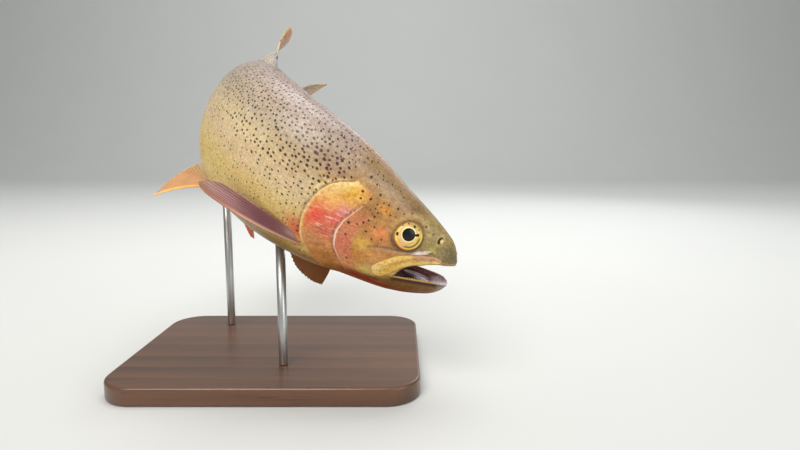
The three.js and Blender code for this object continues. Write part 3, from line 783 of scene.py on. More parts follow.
def ring_angles(s):
    """Angles of one ring: over the back between the mouth's corners, and on round the keel."""
    s = np.asarray(s, float)
    behind = smooth(MOUTH_DEPTH, 80, s)
    to_side = angle_at_height(MOUTH_DEPTH, lip_at(MOUTH_DEPTH)) * (1 - behind) + math.radians(112) * behind
    corner = np.where(s < MOUTH_DEPTH, angle_at_height(s, lip_at(s)), to_side)[..., None]
    top = -corner + 2 * corner * np.linspace(0, 1, TOP_COLUMNS + 1)
    low = corner + 2 * (math.pi - corner) * np.linspace(0, 1, LOW_COLUMNS + 1)
    return top, low


def upper_head_sheet():
    """Upper head in front of the corner of the mouth."""
    top, _ = ring_angles(UPPER_ROWS)
    grid = np.broadcast_to(UPPER_ROWS[:, None], top.shape)
    upper = surface(grid, top, relief(grid, top) * smooth(0, 3, grid))
    upper[0, :, 1] = 0
    return upper, bake_place(grid, top), 0.0


def mouth_roof_sheet(upper):
    """Roof of the mouth from the upper lip to the throat."""
    s = UPPER_ROWS[:, None]
    t = np.sin(np.linspace(-1, 1, 61) * math.pi / 2)
    lip_y, lip_z = upper[:, -1, 1, None], upper[:, -1, 2, None]
    groove = 0.12 * bell(np.abs(t), 0.95, 0.045) * (np.abs(t) < RIM_SHARE)
    z = lip_z + np.minimum(5, 0.35 * lip_y) * (1 - np.abs(t) ** 2.2 - groove)
    z = z + 0.35 * smooth(2, 8, s) * bell(t, 0, 0.07)
    roof = np.stack([s - nose_push(s, z), lip_y * t, z], -1)
    return roof, chart(len(s), len(t), (0.02, 0.3), (0.66, 0.78)), lip_y * (1 - np.abs(t))


def lower_jaw_sheet(upper):
    s = JAW_ROWS
    mid = mid_at(np.maximum(s, 4))[:, None]
    drop = mid - jaw_keel_at(s)[:, None]
    rim = np.arccos((jaw_rim_at(s)[:, None] - mid) / drop)
    angle = rim + 2 * (math.pi - rim) * np.linspace(0, 1, LOW_COLUMNS + 1)
    grid = np.broadcast_to(s[:, None], angle.shape)
    from_rim = jaw_rim_at(s)[:, None] - (mid + drop * np.cos(angle))
    bulge = relief(np.maximum(grid, 4), angle, jaw=True)
    bulge += (0.35 * bell(from_rim, 1.0, 0.9) - 0.3 * bell(from_rim, 2.8, 0.8)) * fall(28, 36, grid)
    bulge *= smooth(JAW_ROWS[0], 0, grid) * smooth(0, 0.02, from_rim + 0.004)
    y = (jaw_width_at(s)[:, None] + bulge) * np.sin(angle)
    jaw = np.stack([grid, y, mid + (drop + bulge) * np.cos(angle)], -1)
    jaw[0, :, 1] = 0
    jaw[-1, 0], jaw[-1, -1] = upper[-1, -1], upper[-1, 0]
    return jaw, bake_place(grid, angle), 0.0


def mouth_floor_sheet(jaw):
    s = JAW_ROWS[:, None]
    t = np.sin(np.linspace(1, -1, 51) * math.pi / 2)
    rim_y, rim_z = jaw[:, 0, 1, None], jaw[:, 0, 2, None]
    depth = np.minimum(4.0, 0.34 * (jaw_rim_at(s) - jaw_keel_at(s)))
    ridge = 0.4 * bell(np.abs(t), 0.965, 0.03) * smooth(JAW_ROWS[0], -1, s) * (np.abs(t) < RIM_SHARE)
    z = rim_z - depth * (1 - np.abs(t) ** 3.4) + ridge
    floor = np.stack([np.broadcast_to(s, z.shape), rim_y * t, z], -1)
    return floor, chart(len(s), len(t), (0.34, 0.62), (0.66, 0.78)), rim_y * (1 - np.abs(t))


def throat_lining_sheet(roof, floor):
    """Lining of the throat, closing behind the corner of the mouth."""
    loop = np.vstack([roof[-1], floor[-1][1:]])
    k = np.linspace(0, 1, 15)
    size = np.sqrt(np.clip(1 - k ** 2.2, 0, 1))[:, None, None]
    middle = loop.mean(0) * [1, 0, 1]
    lining = middle + (loop - middle) * size + np.array([24, 0, -1.5]) * k[:, None, None]
    return lining, chart(len(k), len(loop), (0.66, 0.9), (0.66, 0.8)), 6 + 10 * k[:, None]


def rear_sheet(upper, jaw):
    """Everything behind the corner of the mouth, with one ring along the gill cover's edge."""
    to_edge = np.concatenate([np.linspace(0, 0.92, 35)[1:], [0.945, 0.965, 0.982, 0.993, 1.0]])
    after = np.concatenate([[0.006, 0.016, 0.03, 0.05, 0.075, 0.105], np.linspace(0.14, 1, 17)])
    cheek = np.linspace(MOUTH_DEPTH, COVER_START, 38)
    on_cover = COVER_START + (EVEN_EDGE - COVER_START) * to_edge
    behind = EVEN_EDGE + (COVER_END - EVEN_EDGE) * after
    trunk = np.linspace(COVER_END, BODY_LENGTH, 86)[1:]
    rows = np.concatenate([cheek, on_cover, behind, trunk])
    top, low = ring_angles(rows)
    angle = np.concatenate([top, low[:, 1:]], axis=1)
    # Rows near the gill cover are drawn to follow its rear edge
    edge = gill_rear_at(np.degrees(np.abs(wrapped(angle))))
    s = np.broadcast_to(rows[:, None], angle.shape).copy()
    first = len(cheek)
    last = first + len(to_edge)
    end = last + len(after)
    s[first:last] = COVER_START + (edge[first:last] - COVER_START) * to_edge[:, None]
    s[last:end] = edge[last:end] + (COVER_END - edge[last:end]) * after[:, None]
    rear = surface(s, angle, relief(s, angle))
    rear[0, :TOP_COLUMNS + 1] = upper[-1]
    rear[0, TOP_COLUMNS:] = jaw[-1]
    rear[:, -1] = rear[:, 0]
    # The stem closes down onto the tail fin
    closing = []
    for step, thin in STEM_END:
        ring = rear[-1].copy()
        ring[:, 0] += step - 3.0 * (np.abs(ring[:, 2]) / 22) ** 2 * (step / STEM_END[-1][0])
        ring[:, 1] *= thin
        closing.append(ring)
    rear = np.concatenate([rear, np.array(closing)])
    angle = np.vstack([angle, np.repeat(angle[-1:], len(closing), 0)])
    return rear, bake_place(rear[..., 0], angle), 0.0


def skin_sheets():
    upper = upper_head_sheet()
    roof = mouth_roof_sheet(upper[0])
    jaw = lower_jaw_sheet(upper[0])
    floor = mouth_floor_sheet(jaw[0])
    return [upper, roof, jaw, floor, throat_lining_sheet(roof[0], floor[0]), rear_sheet(upper[0], jaw[0])]


def girth_arc(s, a):
    """Length round the body from the back line to angle a, signed by side."""
    s, a = np.broadcast_arrays(np.asarray(s, float), wrapped(np.asarray(a, float)))
    mid = mid_at(s)
    up, down, wide = back_at(s) - mid, mid - belly_at(s), width_at(s)
    total = np.zeros_like(s)
    for k in range(ARC_PARTS):
        t = np.abs(a) * (k + 0.5) / ARC_PARTS
        tall = np.where(t < math.pi / 2, up, down)
        total += np.hypot(wide * np.cos(t), tall * np.sin(t)) * np.abs(a) / ARC_PARTS
    return total * np.sign(a)


def mark_body(mesh, flat, look, share, painted_highlight_share):
    """Keep the attributes that the skin and the scales have alike and return the body's colours."""
    a = np.radians(girth_degrees(flat)) * np.where(flat[:, 1] < 0, -1, 1)
    put_columns(mesh, "lay", flat[:, 0], girth_arc(flat[:, 0], a))
    # The third number of marks is the share of painted highlights
    put_columns(mesh, "marks", share, spot_size(flat), painted_highlight_share)
    return body_tint(flat, look)


# ---- materials ----
def flesh_material(name, look, scales=False, dotted=False):
    """Skin coloured by the tint attribute, with grain, painted highlights and dark spots."""
    kit = Nodes(name, Roughness=0.45, Coat_Weight=0.16, Coat_Roughness=0.22, IOR=1.4,
                Subsurface_Weight=0.06, Subsurface_Scale=0.004)
    where = kit.attribute("flat_co")
    lay = kit.attribute("lay")
    tint = kit.attribute("tint", "Color")
    marks = kit.split(kit.attribute("marks"))
    broad = kit.noise(where, 0.09, 3, 0.55)
    fine = kit.noise(where, 0.7, 3, 0.62)
    colour = kit.mix(kit.fade(broad, 0.35, 0.68, 0.0, 0.3), tint, (0.8, 0.68, 0.5), "MULTIPLY")
    colour = kit.mix(kit.fade(fine, 0.36, 0.56, 0.38, 0.0), colour, (0.62, 0.5, 0.4), "MULTIPLY")
    colour = kit.mix(kit.fade(fine, 0.5, 0.7, 0.0, 0.3), colour, (1.0, 0.93, 0.8), "SOFT_LIGHT")
    colour = add_speckles_and_painted_highlights(kit, colour, lay, marks, look)
    spot = dark_spots(kit, lay, marks, look)
    if not scales:
        mottle = kit.noise(where, 0.34, 4, 0.68)
        colour = kit.mix(kit.fade(mottle, 0.5, 0.36, 0.0, 0.6), colour, (0.7, 0.54, 0.38), "MULTIPLY")
        colour = kit.mix(kit.fade(mottle, 0.54, 0.66, 0.0, 0.4), colour, (1.0, 0.86, 0.62), "SOFT_LIGHT")
    if dotted:
        dots = kit.split(kit.attribute("dots"))
        colour = gill_cover_marks(kit, colour, where, dots)
        spot = kit.math("MAXIMUM", spot, kit.fade(dots[0], 0.25, -0.2))
        lining = kit.attribute("inside", "Fac")
        kit.set(Coat_Weight=kit.fade(lining, 0.5, 3.0, 0.16, 0.0),
                Specular_IOR_Level=kit.fade(lining, 0.5, 3.0, 0.5, 0.08))
    colour = kit.mix(kit.times(spot, 0.92), colour, look.spot[:3])
    normal = kit.bump(kit.noise(where, 1.6, 3, 0.6), 0.00025, 0.45)
    if scales:
        colour = shaded_scales(kit, colour, look)
        kit.set(Roughness=0.36)
    return kit.set(Base_Color=colour, Normal=normal)


def add_speckles_and_painted_highlights(kit, colour, lay, marks, look):
    """Pale painted highlights along the back, and tiny dark speckles."""
    speckle_and_highlight_cells = kit.cells(lay, 0.85)
    kind = kit.split(speckle_and_highlight_cells.outputs["Color"])
    painted_highlight_dots = kit.times(kit.fade(speckle_and_highlight_cells.outputs["Distance"], 0.42, 0.2), kit.fade(kind[0], 0.35, 0.6))
    # Painted highlight: pale dots on the scales of the upper back
    colour = kit.mix(kit.times(painted_highlight_dots, marks[2], 0.7), colour, linear(222, 202, 206))
    speck = kit.times(kit.fade(speckle_and_highlight_cells.outputs["Distance"], 0.34, 0.16), kit.fade(kind[1], 0.6, 0.64))
    strength = kit.math("MULTIPLY_ADD", marks[0], 0.3, 0.08)
    return kit.mix(kit.times(speck, strength), colour, look.spot[:3])


def dark_spots(kit, lay, marks, look):
    """Round spots in uneven cells, as many and as large as the marks attribute says."""
    warp = kit.made_from(lay, "ShaderNodeTexNoise", {"Scale": 0.42, "Detail": 1.5}, noise_dimensions="2D")
    shift = kit.vector("SCALE", kit.vector("SUBTRACT", warp.outputs["Color"], (0.5, 0.5, 0.5)), scale=0.9)
    cell = {"Scale": 1 / look.spot_spacing, "Randomness": 0.68}
    where = kit.vector("ADD", lay, shift)
    spots = kit.made_from(where, "ShaderNodeTexVoronoi", cell, voronoi_dimensions="2D")
    chance = kit.split(spots.outputs["Color"])
    present = kit.fade(kit.math("SUBTRACT", marks[0], chance[0]), -0.02, 0.04)
    radius = kit.times(marks[1], kit.math("MULTIPLY_ADD", chance[1], 0.1, 0.16))
    edge = kit.math("SUBTRACT", spots.outputs["Distance"], radius)
    return kit.times(kit.fade(edge, 0.055, -0.055), present)


def gill_cover_marks(kit, colour, where, dots):
    """Pale streaks on the gill cover and the pale crescent along its front edge."""
    drawn = kit.mapped(where, Rotation=(0, math.radians(35), 0), Scale=(0.09, 0.4, 0.62))
    streak = kit.fade(kit.noise(drawn, 1.0, 4, 0.6), 0.52, 0.68)
    colour = kit.mix(kit.times(streak, kit.times(dots[1], 0.6)), colour, linear(255, 216, 196))
    shown = kit.split(kit.attribute("crescent"))
    wander = kit.math("MULTIPLY_ADD", kit.noise(where, 0.3, 3), 1.1, dots[2])
    reach = kit.math("MULTIPLY_ADD", shown[1], 0.3, 0.5)
    crescent = kit.fade(kit.math("SUBTRACT", kit.math("ABSOLUTE", wander), reach), 0.0, -0.55)
    crescent = kit.times(crescent, kit.math("MULTIPLY_ADD", shown[1], 0.3, 0.55))
    return kit.mix(kit.times(crescent, shown[0]), colour, linear(250, 216, 196))


def shaded_scales(kit, colour, look):
    """Scales that differ a little in brightness, each with painted shade along its free rim."""
    scale = kit.split(kit.attribute("scale_co"))
    shade = kit.math("MULTIPLY_ADD", kit.math("SUBTRACT", scale[2], 0.5), look.scale_variation, 1.0)
    bow = kit.times(0.25, kit.math("POWER", scale[1], 2.0))
    # Painted shade: each scale darker towards its free rim
    rim = kit.fade(kit.math("SUBTRACT", scale[0], bow), 0.6, 1.0, 1.03, 0.88)
    value = kit.node("ShaderNodeHueSaturation")
    kit.plug(colour, value.inputs["Color"])
    kit.plug(kit.times(shade, rim), value.inputs["Value"])
    return value.outputs[0]


def mouth_tint(base, inside, flat):
    """Colours of the mouth's lining: pale along both rims, then dark with painted shade, darkest on the
    palate and towards the throat.
    """
    s, y, z = flat[:, 0], flat[:, 1], flat[:, 2]
    palate = smooth(-1, 1, z - (lip_at(s) + jaw_rim_at(np.minimum(s, MOUTH_DEPTH))) / 2)[:, None]
    gum = palate * np.array(linear(190, 136, 124)) + (1 - palate) * np.array(linear(128, 82, 78))
    tip = (fall(4, 11, s) * (1 - 0.6 * smooth(-2, 4, y)))[:, None]
    floor = tip * np.array(linear(232, 226, 246)) + (1 - tip) * np.array(linear(104, 64, 62))
    # Painted shade: the palate darker than the floor
    bed = palate * np.array(linear(84, 44, 44)) + (1 - palate) * floor
    paint = Paint(base, len(flat))
    rim = smooth(0.1, 0.5, inside)
    paint.lay(gum, rim)
    paint.lay(bed, smooth(1.2, 2.4, inside + 2.4 * fall(1, 8, s)) * rim)
    # Painted shade deepening towards the throat
    paint.wash((100, 58, 56), smooth(16, 28, s) * smooth(1.5, 4.0, inside))
    return paint.wash((62, 32, 32), smooth(0.3, 2.0, inside) * smooth(30, 46, s))


# ---- pieces ----
SKIN_NODES = [
    "head", "lower_jaw", "gill_cover_left", "gill_cover_right", "trunk_front", "trunk_rear", "tail_stem",
]
# One scale as shares of its length and width: a six-sided rim, then the middle of its top and underside
SCALE_RIM = [(-0.42, 0.0), (-0.08, 0.5), (0.34, 0.42), (0.58, 0.0), (0.34, -0.42), (-0.08, -0.5)]
SCALE_LENS = np.vstack([SCALE_RIM, [0.1, 0.0], [0.1, 0.0]])
SCALE_LIFT = np.array([-0.05, 0.02, 0.08, 0.12, 0.08, 0.02, 0.1, 0.0])
SCALE_ROWS = (83, 424)
SCALE_PIECES = [(83, 152), (152, 215), (215, 290), (290, 430)]
SCALE_ON_UNWRAP = 0.0028


def build_skin(look):
    """One skin over the head, the jaw, the gill covers and the trunk."""
    mesh, flat = mesh_from_sheets("trout_skin", skin_sheets())
    inside = read_float(mesh, "inside")
    tint = mark_body(mesh, flat, look, spot_share(flat) * fall(0.2, 1, inside), 0)
    put_tint(mesh, mouth_tint(tint, inside, flat))
    s, z, deg = flat[:, 0], flat[:, 2], girth_degrees(flat)
    behind_front = s - gill_front_at(deg)
    streaked = smooth(-2, 2, behind_front) * (s < gill_rear_at(deg) - 0.5) * bell(z, 0, 16)
    put_columns(mesh, "dots", lone_spots(flat) + inside, streaked, np.clip(behind_front, -4, 4))
    put_columns(mesh, "crescent", between(64, 76, 128, 146, deg), bell(deg, 104, 16))
    new_object("trout_skin", mesh, flesh_material("trout_skin", look, dotted=True), SKIN_NODES)


def scale_centres(look, rng):
    """Place (s, a) of each scale, in even rows staggered like bricks, behind the gill cover."""
    centres = []
    half_turn = math.pi * 0.99999
    fine = np.linspace(-math.pi, math.pi, 721)
    for k, s in enumerate(np.arange(*SCALE_ROWS, look.scale_pitch)):
        half_girth = girth_arc(s, half_turn)
        count = int(round(2 * half_girth / (look.scale_pitch * 0.9) / 8) * 8)
        lengths = girth_arc(s, np.clip(fine, -half_turn, half_turn))
        wanted = (np.arange(count) + 0.5 * (k % 2)) / count * 2 * half_girth - half_girth
        centres.append(np.stack([np.full(count, s), np.interp(wanted, lengths, fine)], -1))
    centres = np.vstack(centres)
    centres = centres[centres[:, 0] > gill_rear_at(np.degrees(np.abs(centres[:, 1]))) + 1.6]
    centres[:, 0] += rng.normal(0, 0.12, len(centres))
    return centres


def scale_copies(name, count):
    """Mesh of that many loose six-sided lenses, whose points are placed afterwards."""
    bm = bmesh.new()
    ring = bmesh.ops.create_circle(bm, cap_ends=False, segments=6, radius=1.0)["verts"]
    top, low = (bmesh.ops.create_vert(bm, co=(0, 0, z))["vert"][0] for z in (1, -1))
    for here, there in zip(ring, ring[1:] + ring[:1]):
        bm.faces.new((here, there, top))
        bm.faces.new((there, here, low))
    source = link_new(name + "_one", mesh_from(bm, name + "_one"))
    array = source.modifiers.new("copies", "ARRAY")
    array.count = count
    array.use_relative_offset = False
    array.use_constant_offset = True
    array.constant_offset_displace = (3, 0, 0)
    mesh = bpy.data.meshes.new_from_object(source.evaluated_get(bpy.context.evaluated_depsgraph_get()))
    mesh.name = name
    bpy.data.objects.remove(source)
    return mesh


def build_scales(look):
    """Overlapping scales in even rows, in pieces down the body."""
    rng = np.random.default_rng(look.seed)
    centres = scale_centres(look, rng)
    material = flesh_material("trout_scales", look, scales=True)
    for number, (low, high) in enumerate(SCALE_PIECES, 1):
        part = centres[(centres[:, 0] >= low) & (centres[:, 0] < high)]
        build_scale_piece(f"scales_{number}", part, rng, material, look)


def build_scale_piece(name, part, rng, material, look):
    """One piece of the coat: its scales placed, tinted and given their spots on the unwrap."""
    count = len(part)
    mesh = scale_copies(name, count)
    s0, a0 = part[:, 0, None], part[:, 1, None]
    size = 1 + rng.normal(0, 0.04, (count, 1))
    s = s0 + SCALE_LENS[:, 0] * look.scale_pitch * 1.8 * size
    mid = mid_at(s0)
    wide, tall = width_at(s0), np.where(np.cos(a0) > 0, back_at(s0) - mid, mid - belly_at(s0))
    pace = np.hypot(wide * np.cos(a0), tall * np.sin(a0))
    a = a0 + SCALE_LENS[:, 1] * look.scale_pitch * 1.36 * size / pace
    tilt = 1 + rng.normal(0, 0.1, (count, 1))
    flat = surface(s, a, SCALE_LIFT * tilt - COAT_DEPTH + 0.02).reshape(-1, 3)
    bend_to_pose(mesh, flat)
    # Share of pale painted highlights on the scales of the upper back
    painted_highlight_share = smooth(96, 116, flat[:, 0]) * fall(30, 66, girth_degrees(flat))
    put_tint(mesh, mark_body(mesh, flat, look, spot_share(flat), painted_highlight_share))
    along, across = np.tile(SCALE_LENS[:, 0] + 0.42, count), np.tile(np.abs(SCALE_LENS[:, 1]) * 2, count)
    put_columns(mesh, "scale_co", along, across, np.repeat(rng.random(count), len(SCALE_LENS)))
    # Each scale has its own small spot on the unwrap
    root = bake_place(part[:, 0], np.where(part[:, 1] < -2.2, part[:, 1] + 2 * math.pi, part[:, 1]))
    corners = (root[:, None] + SCALE_ON_UNWRAP * SCALE_LENS).reshape(-1, 2)
    index = np.empty(len(mesh.loops), np.int32)
    mesh.loops.foreach_get("vertex_index", index)
    unwrap = mesh.uv_layers.new(name="OFBake")
    unwrap.data.foreach_set("uv", corners[index].astype(np.float32).ravel())
    edges = np.empty(len(mesh.edges) * 2, np.int32)
    mesh.edges.foreach_get("vertices", edges)
    on_rim = (edges.reshape(-1, 2) % len(SCALE_LENS) < len(SCALE_RIM)).all(1)
    mesh.edges.foreach_set("use_edge_sharp", on_rim)
    mesh.update()
    shade_smooth(mesh)
    new_object(name, mesh, material)


# Marks of the iris: place ahead of and above the centre, and radius
EYE_FLECKS = [
    (-7.2, 5.8, 0.9), (0.9, 7.5, 0.95), (-8.3, -0.6, 0.8), (-8.1, -1.5, 0.8),
    (-3.6, 7.9, 0.5), (4.6, 6.6, 0.45),
]
PUPIL = (-1.1, 1.26, 4.45)
PUPIL_TAIL = [(3.4, 2.5, 0.75), (4.3, 2.85, 0.85), (5.1, 3.1, 1.05)]


def build_eyes():
    """Both eyes, each one closed mesh with its iris and pupil in the material."""
    for label, side in (("left", 1), ("right", -1)):
        bm = bmesh.new()
        bmesh.ops.create_uvsphere(bm, u_segments=72, v_segments=48, radius=1.0)
        mesh = mesh_from(bm, f"eye_{label}")
        ball = read_points(mesh)
        axis = unit(np.array(EYE_AXIS) * [1, side, 1])
        ahead = np.array([-1.0, 0, 0])
        ahead = unit(ahead - axis * (ahead @ axis))
        above = np.cross(axis, ahead)
        above = above * np.sign(above[2])
        y = surface(EYE["s"], side * angle_at_height(EYE["s"], EYE["z"]))[1] - side * EYE["sink"]
        local = ball * [EYE["radius"], EYE["radius"], EYE["depth"]]
        local[:, 2] += EYE["dome"] * bell(np.hypot(ball[:, 0], ball[:, 1]), 0, 0.55) * (ball[:, 2] > 0)
        flat = np.array([EYE["s"], y, EYE["z"]]) + local @ np.stack([ahead, above, axis])
        mesh.vertices.foreach_set("co", place(flat).ravel())
        put_attribute(mesh, "eye_co", "FLOAT_VECTOR", local)
        shade_smooth(mesh)
        new_object(f"eye_{label}_ball", mesh, eye_material(f"trout_eye_{label}"), f"eye_{label}")


def eye_material(name):
    """Gold iris with a black pupil drawn out towards the snout, and a few dark flecks."""
    kit = Nodes(name, Roughness=0.4, Coat_Weight=0.3, Coat_Roughness=0.04, IOR=1.3)
    where = kit.attribute("eye_co")
    ahead, above, _ = kit.split(where)

    def away(centre_ahead, centre_above):
        x = kit.math("POWER", kit.math("SUBTRACT", ahead, centre_ahead), 2.0)
        y = kit.math("POWER", kit.math("SUBTRACT", above, centre_above), 2.0)
        return kit.math("SQRT", kit.math("ADD", x, y))

    def lean(share_ahead, share_above):
        return kit.math("ADD", kit.times(ahead, share_ahead), kit.times(above, share_above))

    ring, pupil = away(0.0, 0.0), away(*PUPIL[:2])
    grain = kit.noise(where, 0.55, 4, 0.6)
    streak = kit.noise(where, 1.6, 3, 0.6)
    iris = kit.mix(kit.fade(grain, 0.36, 0.66), linear(244, 206, 122), linear(214, 172, 88))
    iris = kit.mix(kit.times(kit.fade(streak, 0.52, 0.7), 0.4), iris, linear(150, 110, 56))
    waves = kit.math("MULTIPLY_ADD", kit.math("SINE", kit.times(pupil, 4.6)), 0.5, 0.5)
    iris = kit.mix(kit.times(kit.fade(lean(-0.85, -0.5), 0.5, 4.5), waves), iris, linear(222, 164, 132))
    iris = kit.mix(kit.fade(above, 4.5, 8.5, 0.0, 0.65), iris, linear(150, 116, 60))
    olive = kit.times(kit.fade(lean(0.75, -0.65), 3.0, 5.5), kit.near(ring, 7.3, 1.2, 0.4))
    iris = kit.mix(kit.times(olive, 0.85), iris, linear(112, 90, 34))
    outer = kit.times(kit.near(ring, 8.7, 0.9, 0.4), kit.fade(above, 6.0, 2.0))
    iris = kit.mix(kit.times(outer, 0.9), iris, linear(252, 214, 74))
    low = kit.times(kit.fade(ring, 8.3, 9.0), kit.fade(above, -4.5, -7.0))
    iris = kit.mix(low, iris, linear(236, 146, 58))
    iris = kit.mix(kit.fade(ring, 9.2, 9.9, 0.0, 0.9), iris, linear(88, 70, 36))
    iris = kit.mix(kit.near(pupil, 4.8, 0.7, 0.2, 0.85), iris, linear(252, 234, 164))
    flecks, pupil_marks = (EYE_FLECKS, 0.3, linear(40, 26, 16)), ([PUPIL, *PUPIL_TAIL], 0.18, linear(6, 5, 8))
    for marks, soft, colour in (flecks, pupil_marks):
        for mark_ahead, mark_above, radius in marks:
            iris = kit.mix(kit.fade(away(mark_ahead, mark_above), radius + soft, radius - soft), iris, colour)
    return kit.set(Base_Color=iris, Normal=kit.bump(grain, 0.0002, 0.25))


def edge_round(distance, width):
    """Half-thickness share near an edge: 0 at the edge and 1 from width inwards."""
    return np.sqrt(np.clip(1 - (1 - np.clip(distance / width, 0, 1)) ** 2, 0, 1))


def two_faced(name, middle, normal, half_top, half_low):
    """A closed blade from a middle surface and its half thickness on each side, both zero along the edges."""
    rows, cols = middle.shape[:2]
    top = middle + normal * half_top[..., None]
    low = middle - normal * half_low[..., None]
    return mesh_from_sheets(name, [
        (top, chart(rows, cols, (0.02, 0.98), (0.02, 0.48)), 1.0),
        (low, chart(rows, cols, (0.02, 0.98), (0.98, 0.52)), -1.0),
    ])


def grid_normal(points):
    """Unit normal at each point of a grid."""
    du = np.gradient(points, axis=0)
    dv = np.gradient(points, axis=1)
    return unit(np.cross(du, dv))


def build_blades(look):
    """The bony blade of the upper jaw on each side."""
    start, end = BLADE[0][0], BLADE[-1][0] + 0.4
    u = (1 - np.cos(np.linspace(0, math.pi, 96))) / 2
    s = start + (end - start) * u
    high, low = blade_high_at(s), blade_low_at(s)
    from_front, from_rear = s - start, end - s
    spread = (high - low) / 2 * edge_round(from_rear, 2.6) * edge_round(from_front, 2.0) + 0.001
    w = -np.cos(np.linspace(0, math.pi, 30))
    z = ((high + low) / 2)[:, None] - spread[:, None] * w
    grid_s = np.broadcast_to(s[:, None], z.shape)
    ends = edge_round(from_front, 14) * edge_round(from_rear, 3)
    round_off = np.sqrt(np.clip(1 - w ** 2, 0, 1)) ** 0.7 * ends[:, None]
    ridge_line = (high - 0.36 * (high - low))[:, None]
    groove = 0.3 * bell(z, ridge_line, 0.5) * between(22, 28, 46, 50, s)[:, None]
    lip = 0.28 * bell(w, 0.86, 0.12) * fall(48, 53, s)[:, None]
    for label, side in (("left", 1), ("right", -1)):
        base = surface(grid_s, side * angle_at_height(grid_s, z), 0.2)
        normal = grid_normal(base)
        normal *= np.sign((normal[..., 1] * side))[..., None]
        outer, inner = (1.25 + lip - groove) * round_off, 1.1 * round_off
        mesh, flat = two_faced(f"jaw_blade_{label}", base, normal, outer, inner)
        put_tint(mesh, blade_tint(flat))
        put_columns(mesh, "marks", 0.6, 0.42)
        girth = girth_arc(flat[:, 0], np.radians(girth_degrees(flat)) * side)
        put_columns(mesh, "lay", flat[:, 0], girth)
        material = flesh_material(f"trout_blade_{label}", look)
        new_object(f"jaw_blade_{label}", mesh, material, f"maxilla_{label}")


def blade_tint(flat):
    """Yellow blade with a brown upper front, a pale lower edge and a dark upper rim, painted shade of the
    groove above it.
    """
    s, z = flat[:, 0], flat[:, 2]
    high, low = blade_high_at(s), blade_low_at(s)
    share = (high - z) / np.maximum(high - low, 0.5)
    paint = Paint(linear(236, 190, 90), len(flat))
    paint.wash((196, 152, 116), fall(24, 34, s) * fall(0.45, 0.65, share))
    paint.wash((238, 208, 118), 0.9 * bell(share, 0.82, 0.16) * fall(30, 40, s))
    paint.wash((176, 122, 60), 0.6 * bell(share, 0.42, 0.12) * between(20, 26, 40, 46, s))
    paint.wash((246, 214, 128), 0.7 * bell(share, 0.22, 0.14) * smooth(28, 36, s))
    paint.wash((240, 204, 130), 0.85 * smooth(43, 49, s))
    # Painted shade along the upper rim, from the groove above the blade; the lowest rim is darker too
    return paint.wash((120, 76, 34), 0.6 * fall(0.0, 0.07, share) + 0.5 * smooth(0.94, 1.0, share))


# ---- fins ----
# Guide rays from front to rear, each its root, middle and tip, or only root and tip
DORSAL = [
    ((186, 0, 55), (196.5, -4.2, 73.2), (212, 1.6, 90.6)),
    ((195, 0, 55.5), (206, -1, 72.5), (220.5, 6.8, 86)),
    ((205, 0, 55), (217, 1.5, 68.8), (231.5, 8.7, 78)),
    ((216, 0, 54), (229, 1.8, 63), (243, 6.4, 69)),
    ((227, 0, 52), (239.5, 0.4, 58), (252.5, 0.8, 61.5)),
    ((238, 0, 49.5), (249, -2.6, 52), (260, -6.2, 49.7)),
]
ADIPOSE = [
    ((334, 0, 29), (347, 0, 40)), ((340, 0, 27.6), (353, 0, 40.5)), ((346, 0, 26), (357, 0, 37.6)),
    ((350, 0, 25), (356, 0, 34)),
]
ANAL = [
    ((277, 0, -42), (293, 0, -75)), ((284, 0, -40.6), (302, 0, -75.5)), ((292, 0, -38.6), (309, 0, -68)),
    ((300, 0, -36.4), (315, 0, -59)), ((308, 0, -34), (321, 0, -50)),
]
CAUDAL = [
    ((404, 0, 20), (440, 0, 41)), ((412, 0, 20.4), (476.5, 0, 53)), ((415, 0, 14), (472, 0, 35)),
    ((416, 0, 7), (466, 0, 17)), ((416, 0, 1), (463, 0, 1)), ((416, 0, -6), (466, 0, -15)),
    ((415, 0, -13), (472, 0, -33)), ((412, 0, -19.4), (476.5, 0, -51)), ((404, 0, -19), (440, 0, -39)),
]
PECTORAL_FOLDED = [
    ((93, 20.6, -30.8), (127, 35, -29.5), (147, 55.4, -20.4)),
    ((94.6, 21.3, -29.2), (127.6, 33.6, -27.5), (155.2, 52, -22.8)),
    ((96, 21.9, -27.7), (127.6, 32.8, -24.8), (161.4, 47.8, -23.3)),
    ((97.4, 22.4, -26.3), (126.8, 32.2, -21.4), (161, 42, -21.8)),
    ((98.5, 22.9, -25), (125.8, 31.7, -17.8), (153, 36.6, -18.4)),
]
PECTORAL_SPREAD = [
    ((92, 20, -31), (83.5, 33.1, -59.4), (86.5, 39.5, -90.6)),
    ((95, 20.6, -29.6), (90.8, 34.5, -60.1), (95.5, 38, -90.6)),
    ((97.5, 21.2, -28.2), (101.8, 34.5, -58.4), (108, 36.8, -88.6)),
    ((99.5, 21.6, -26.8), (112.5, 33.8, -55.4), (123.5, 36, -84)),
    ((101, 22, -25.4), (119.5, 31.5, -50), (134, 33, -74.5)),
]
PELVIC_RIGHT = [
    ((203, 9, -49.5), (206.7, 30.7, -57.3), (216.9, 49, -77.4)),
    ((205, 9.4, -49.3), (214.1, 27.2, -57.4), (224.4, 43.4, -75)),
    ((207, 9.6, -49.1), (218.3, 24.4, -55.4), (231, 36.6, -66)),
    ((209, 9.4, -49), (220.5, 20.4, -52), (230.4, 28.8, -53.4)),
    ((211, 9, -48.8), (219.2, 16.6, -46), (225, 20.4, -40.6)),
]
PELVIC_LEFT = [
    ((200, 9, -49.5), (211.7, 42, -90.8)), ((203.5, 9.5, -49.3), (217.4, 41, -91.6)),
    ((207, 9.5, -49), (221.6, 35, -85.4)), ((210, 9, -49), (224.8, 27.5, -77)),
]


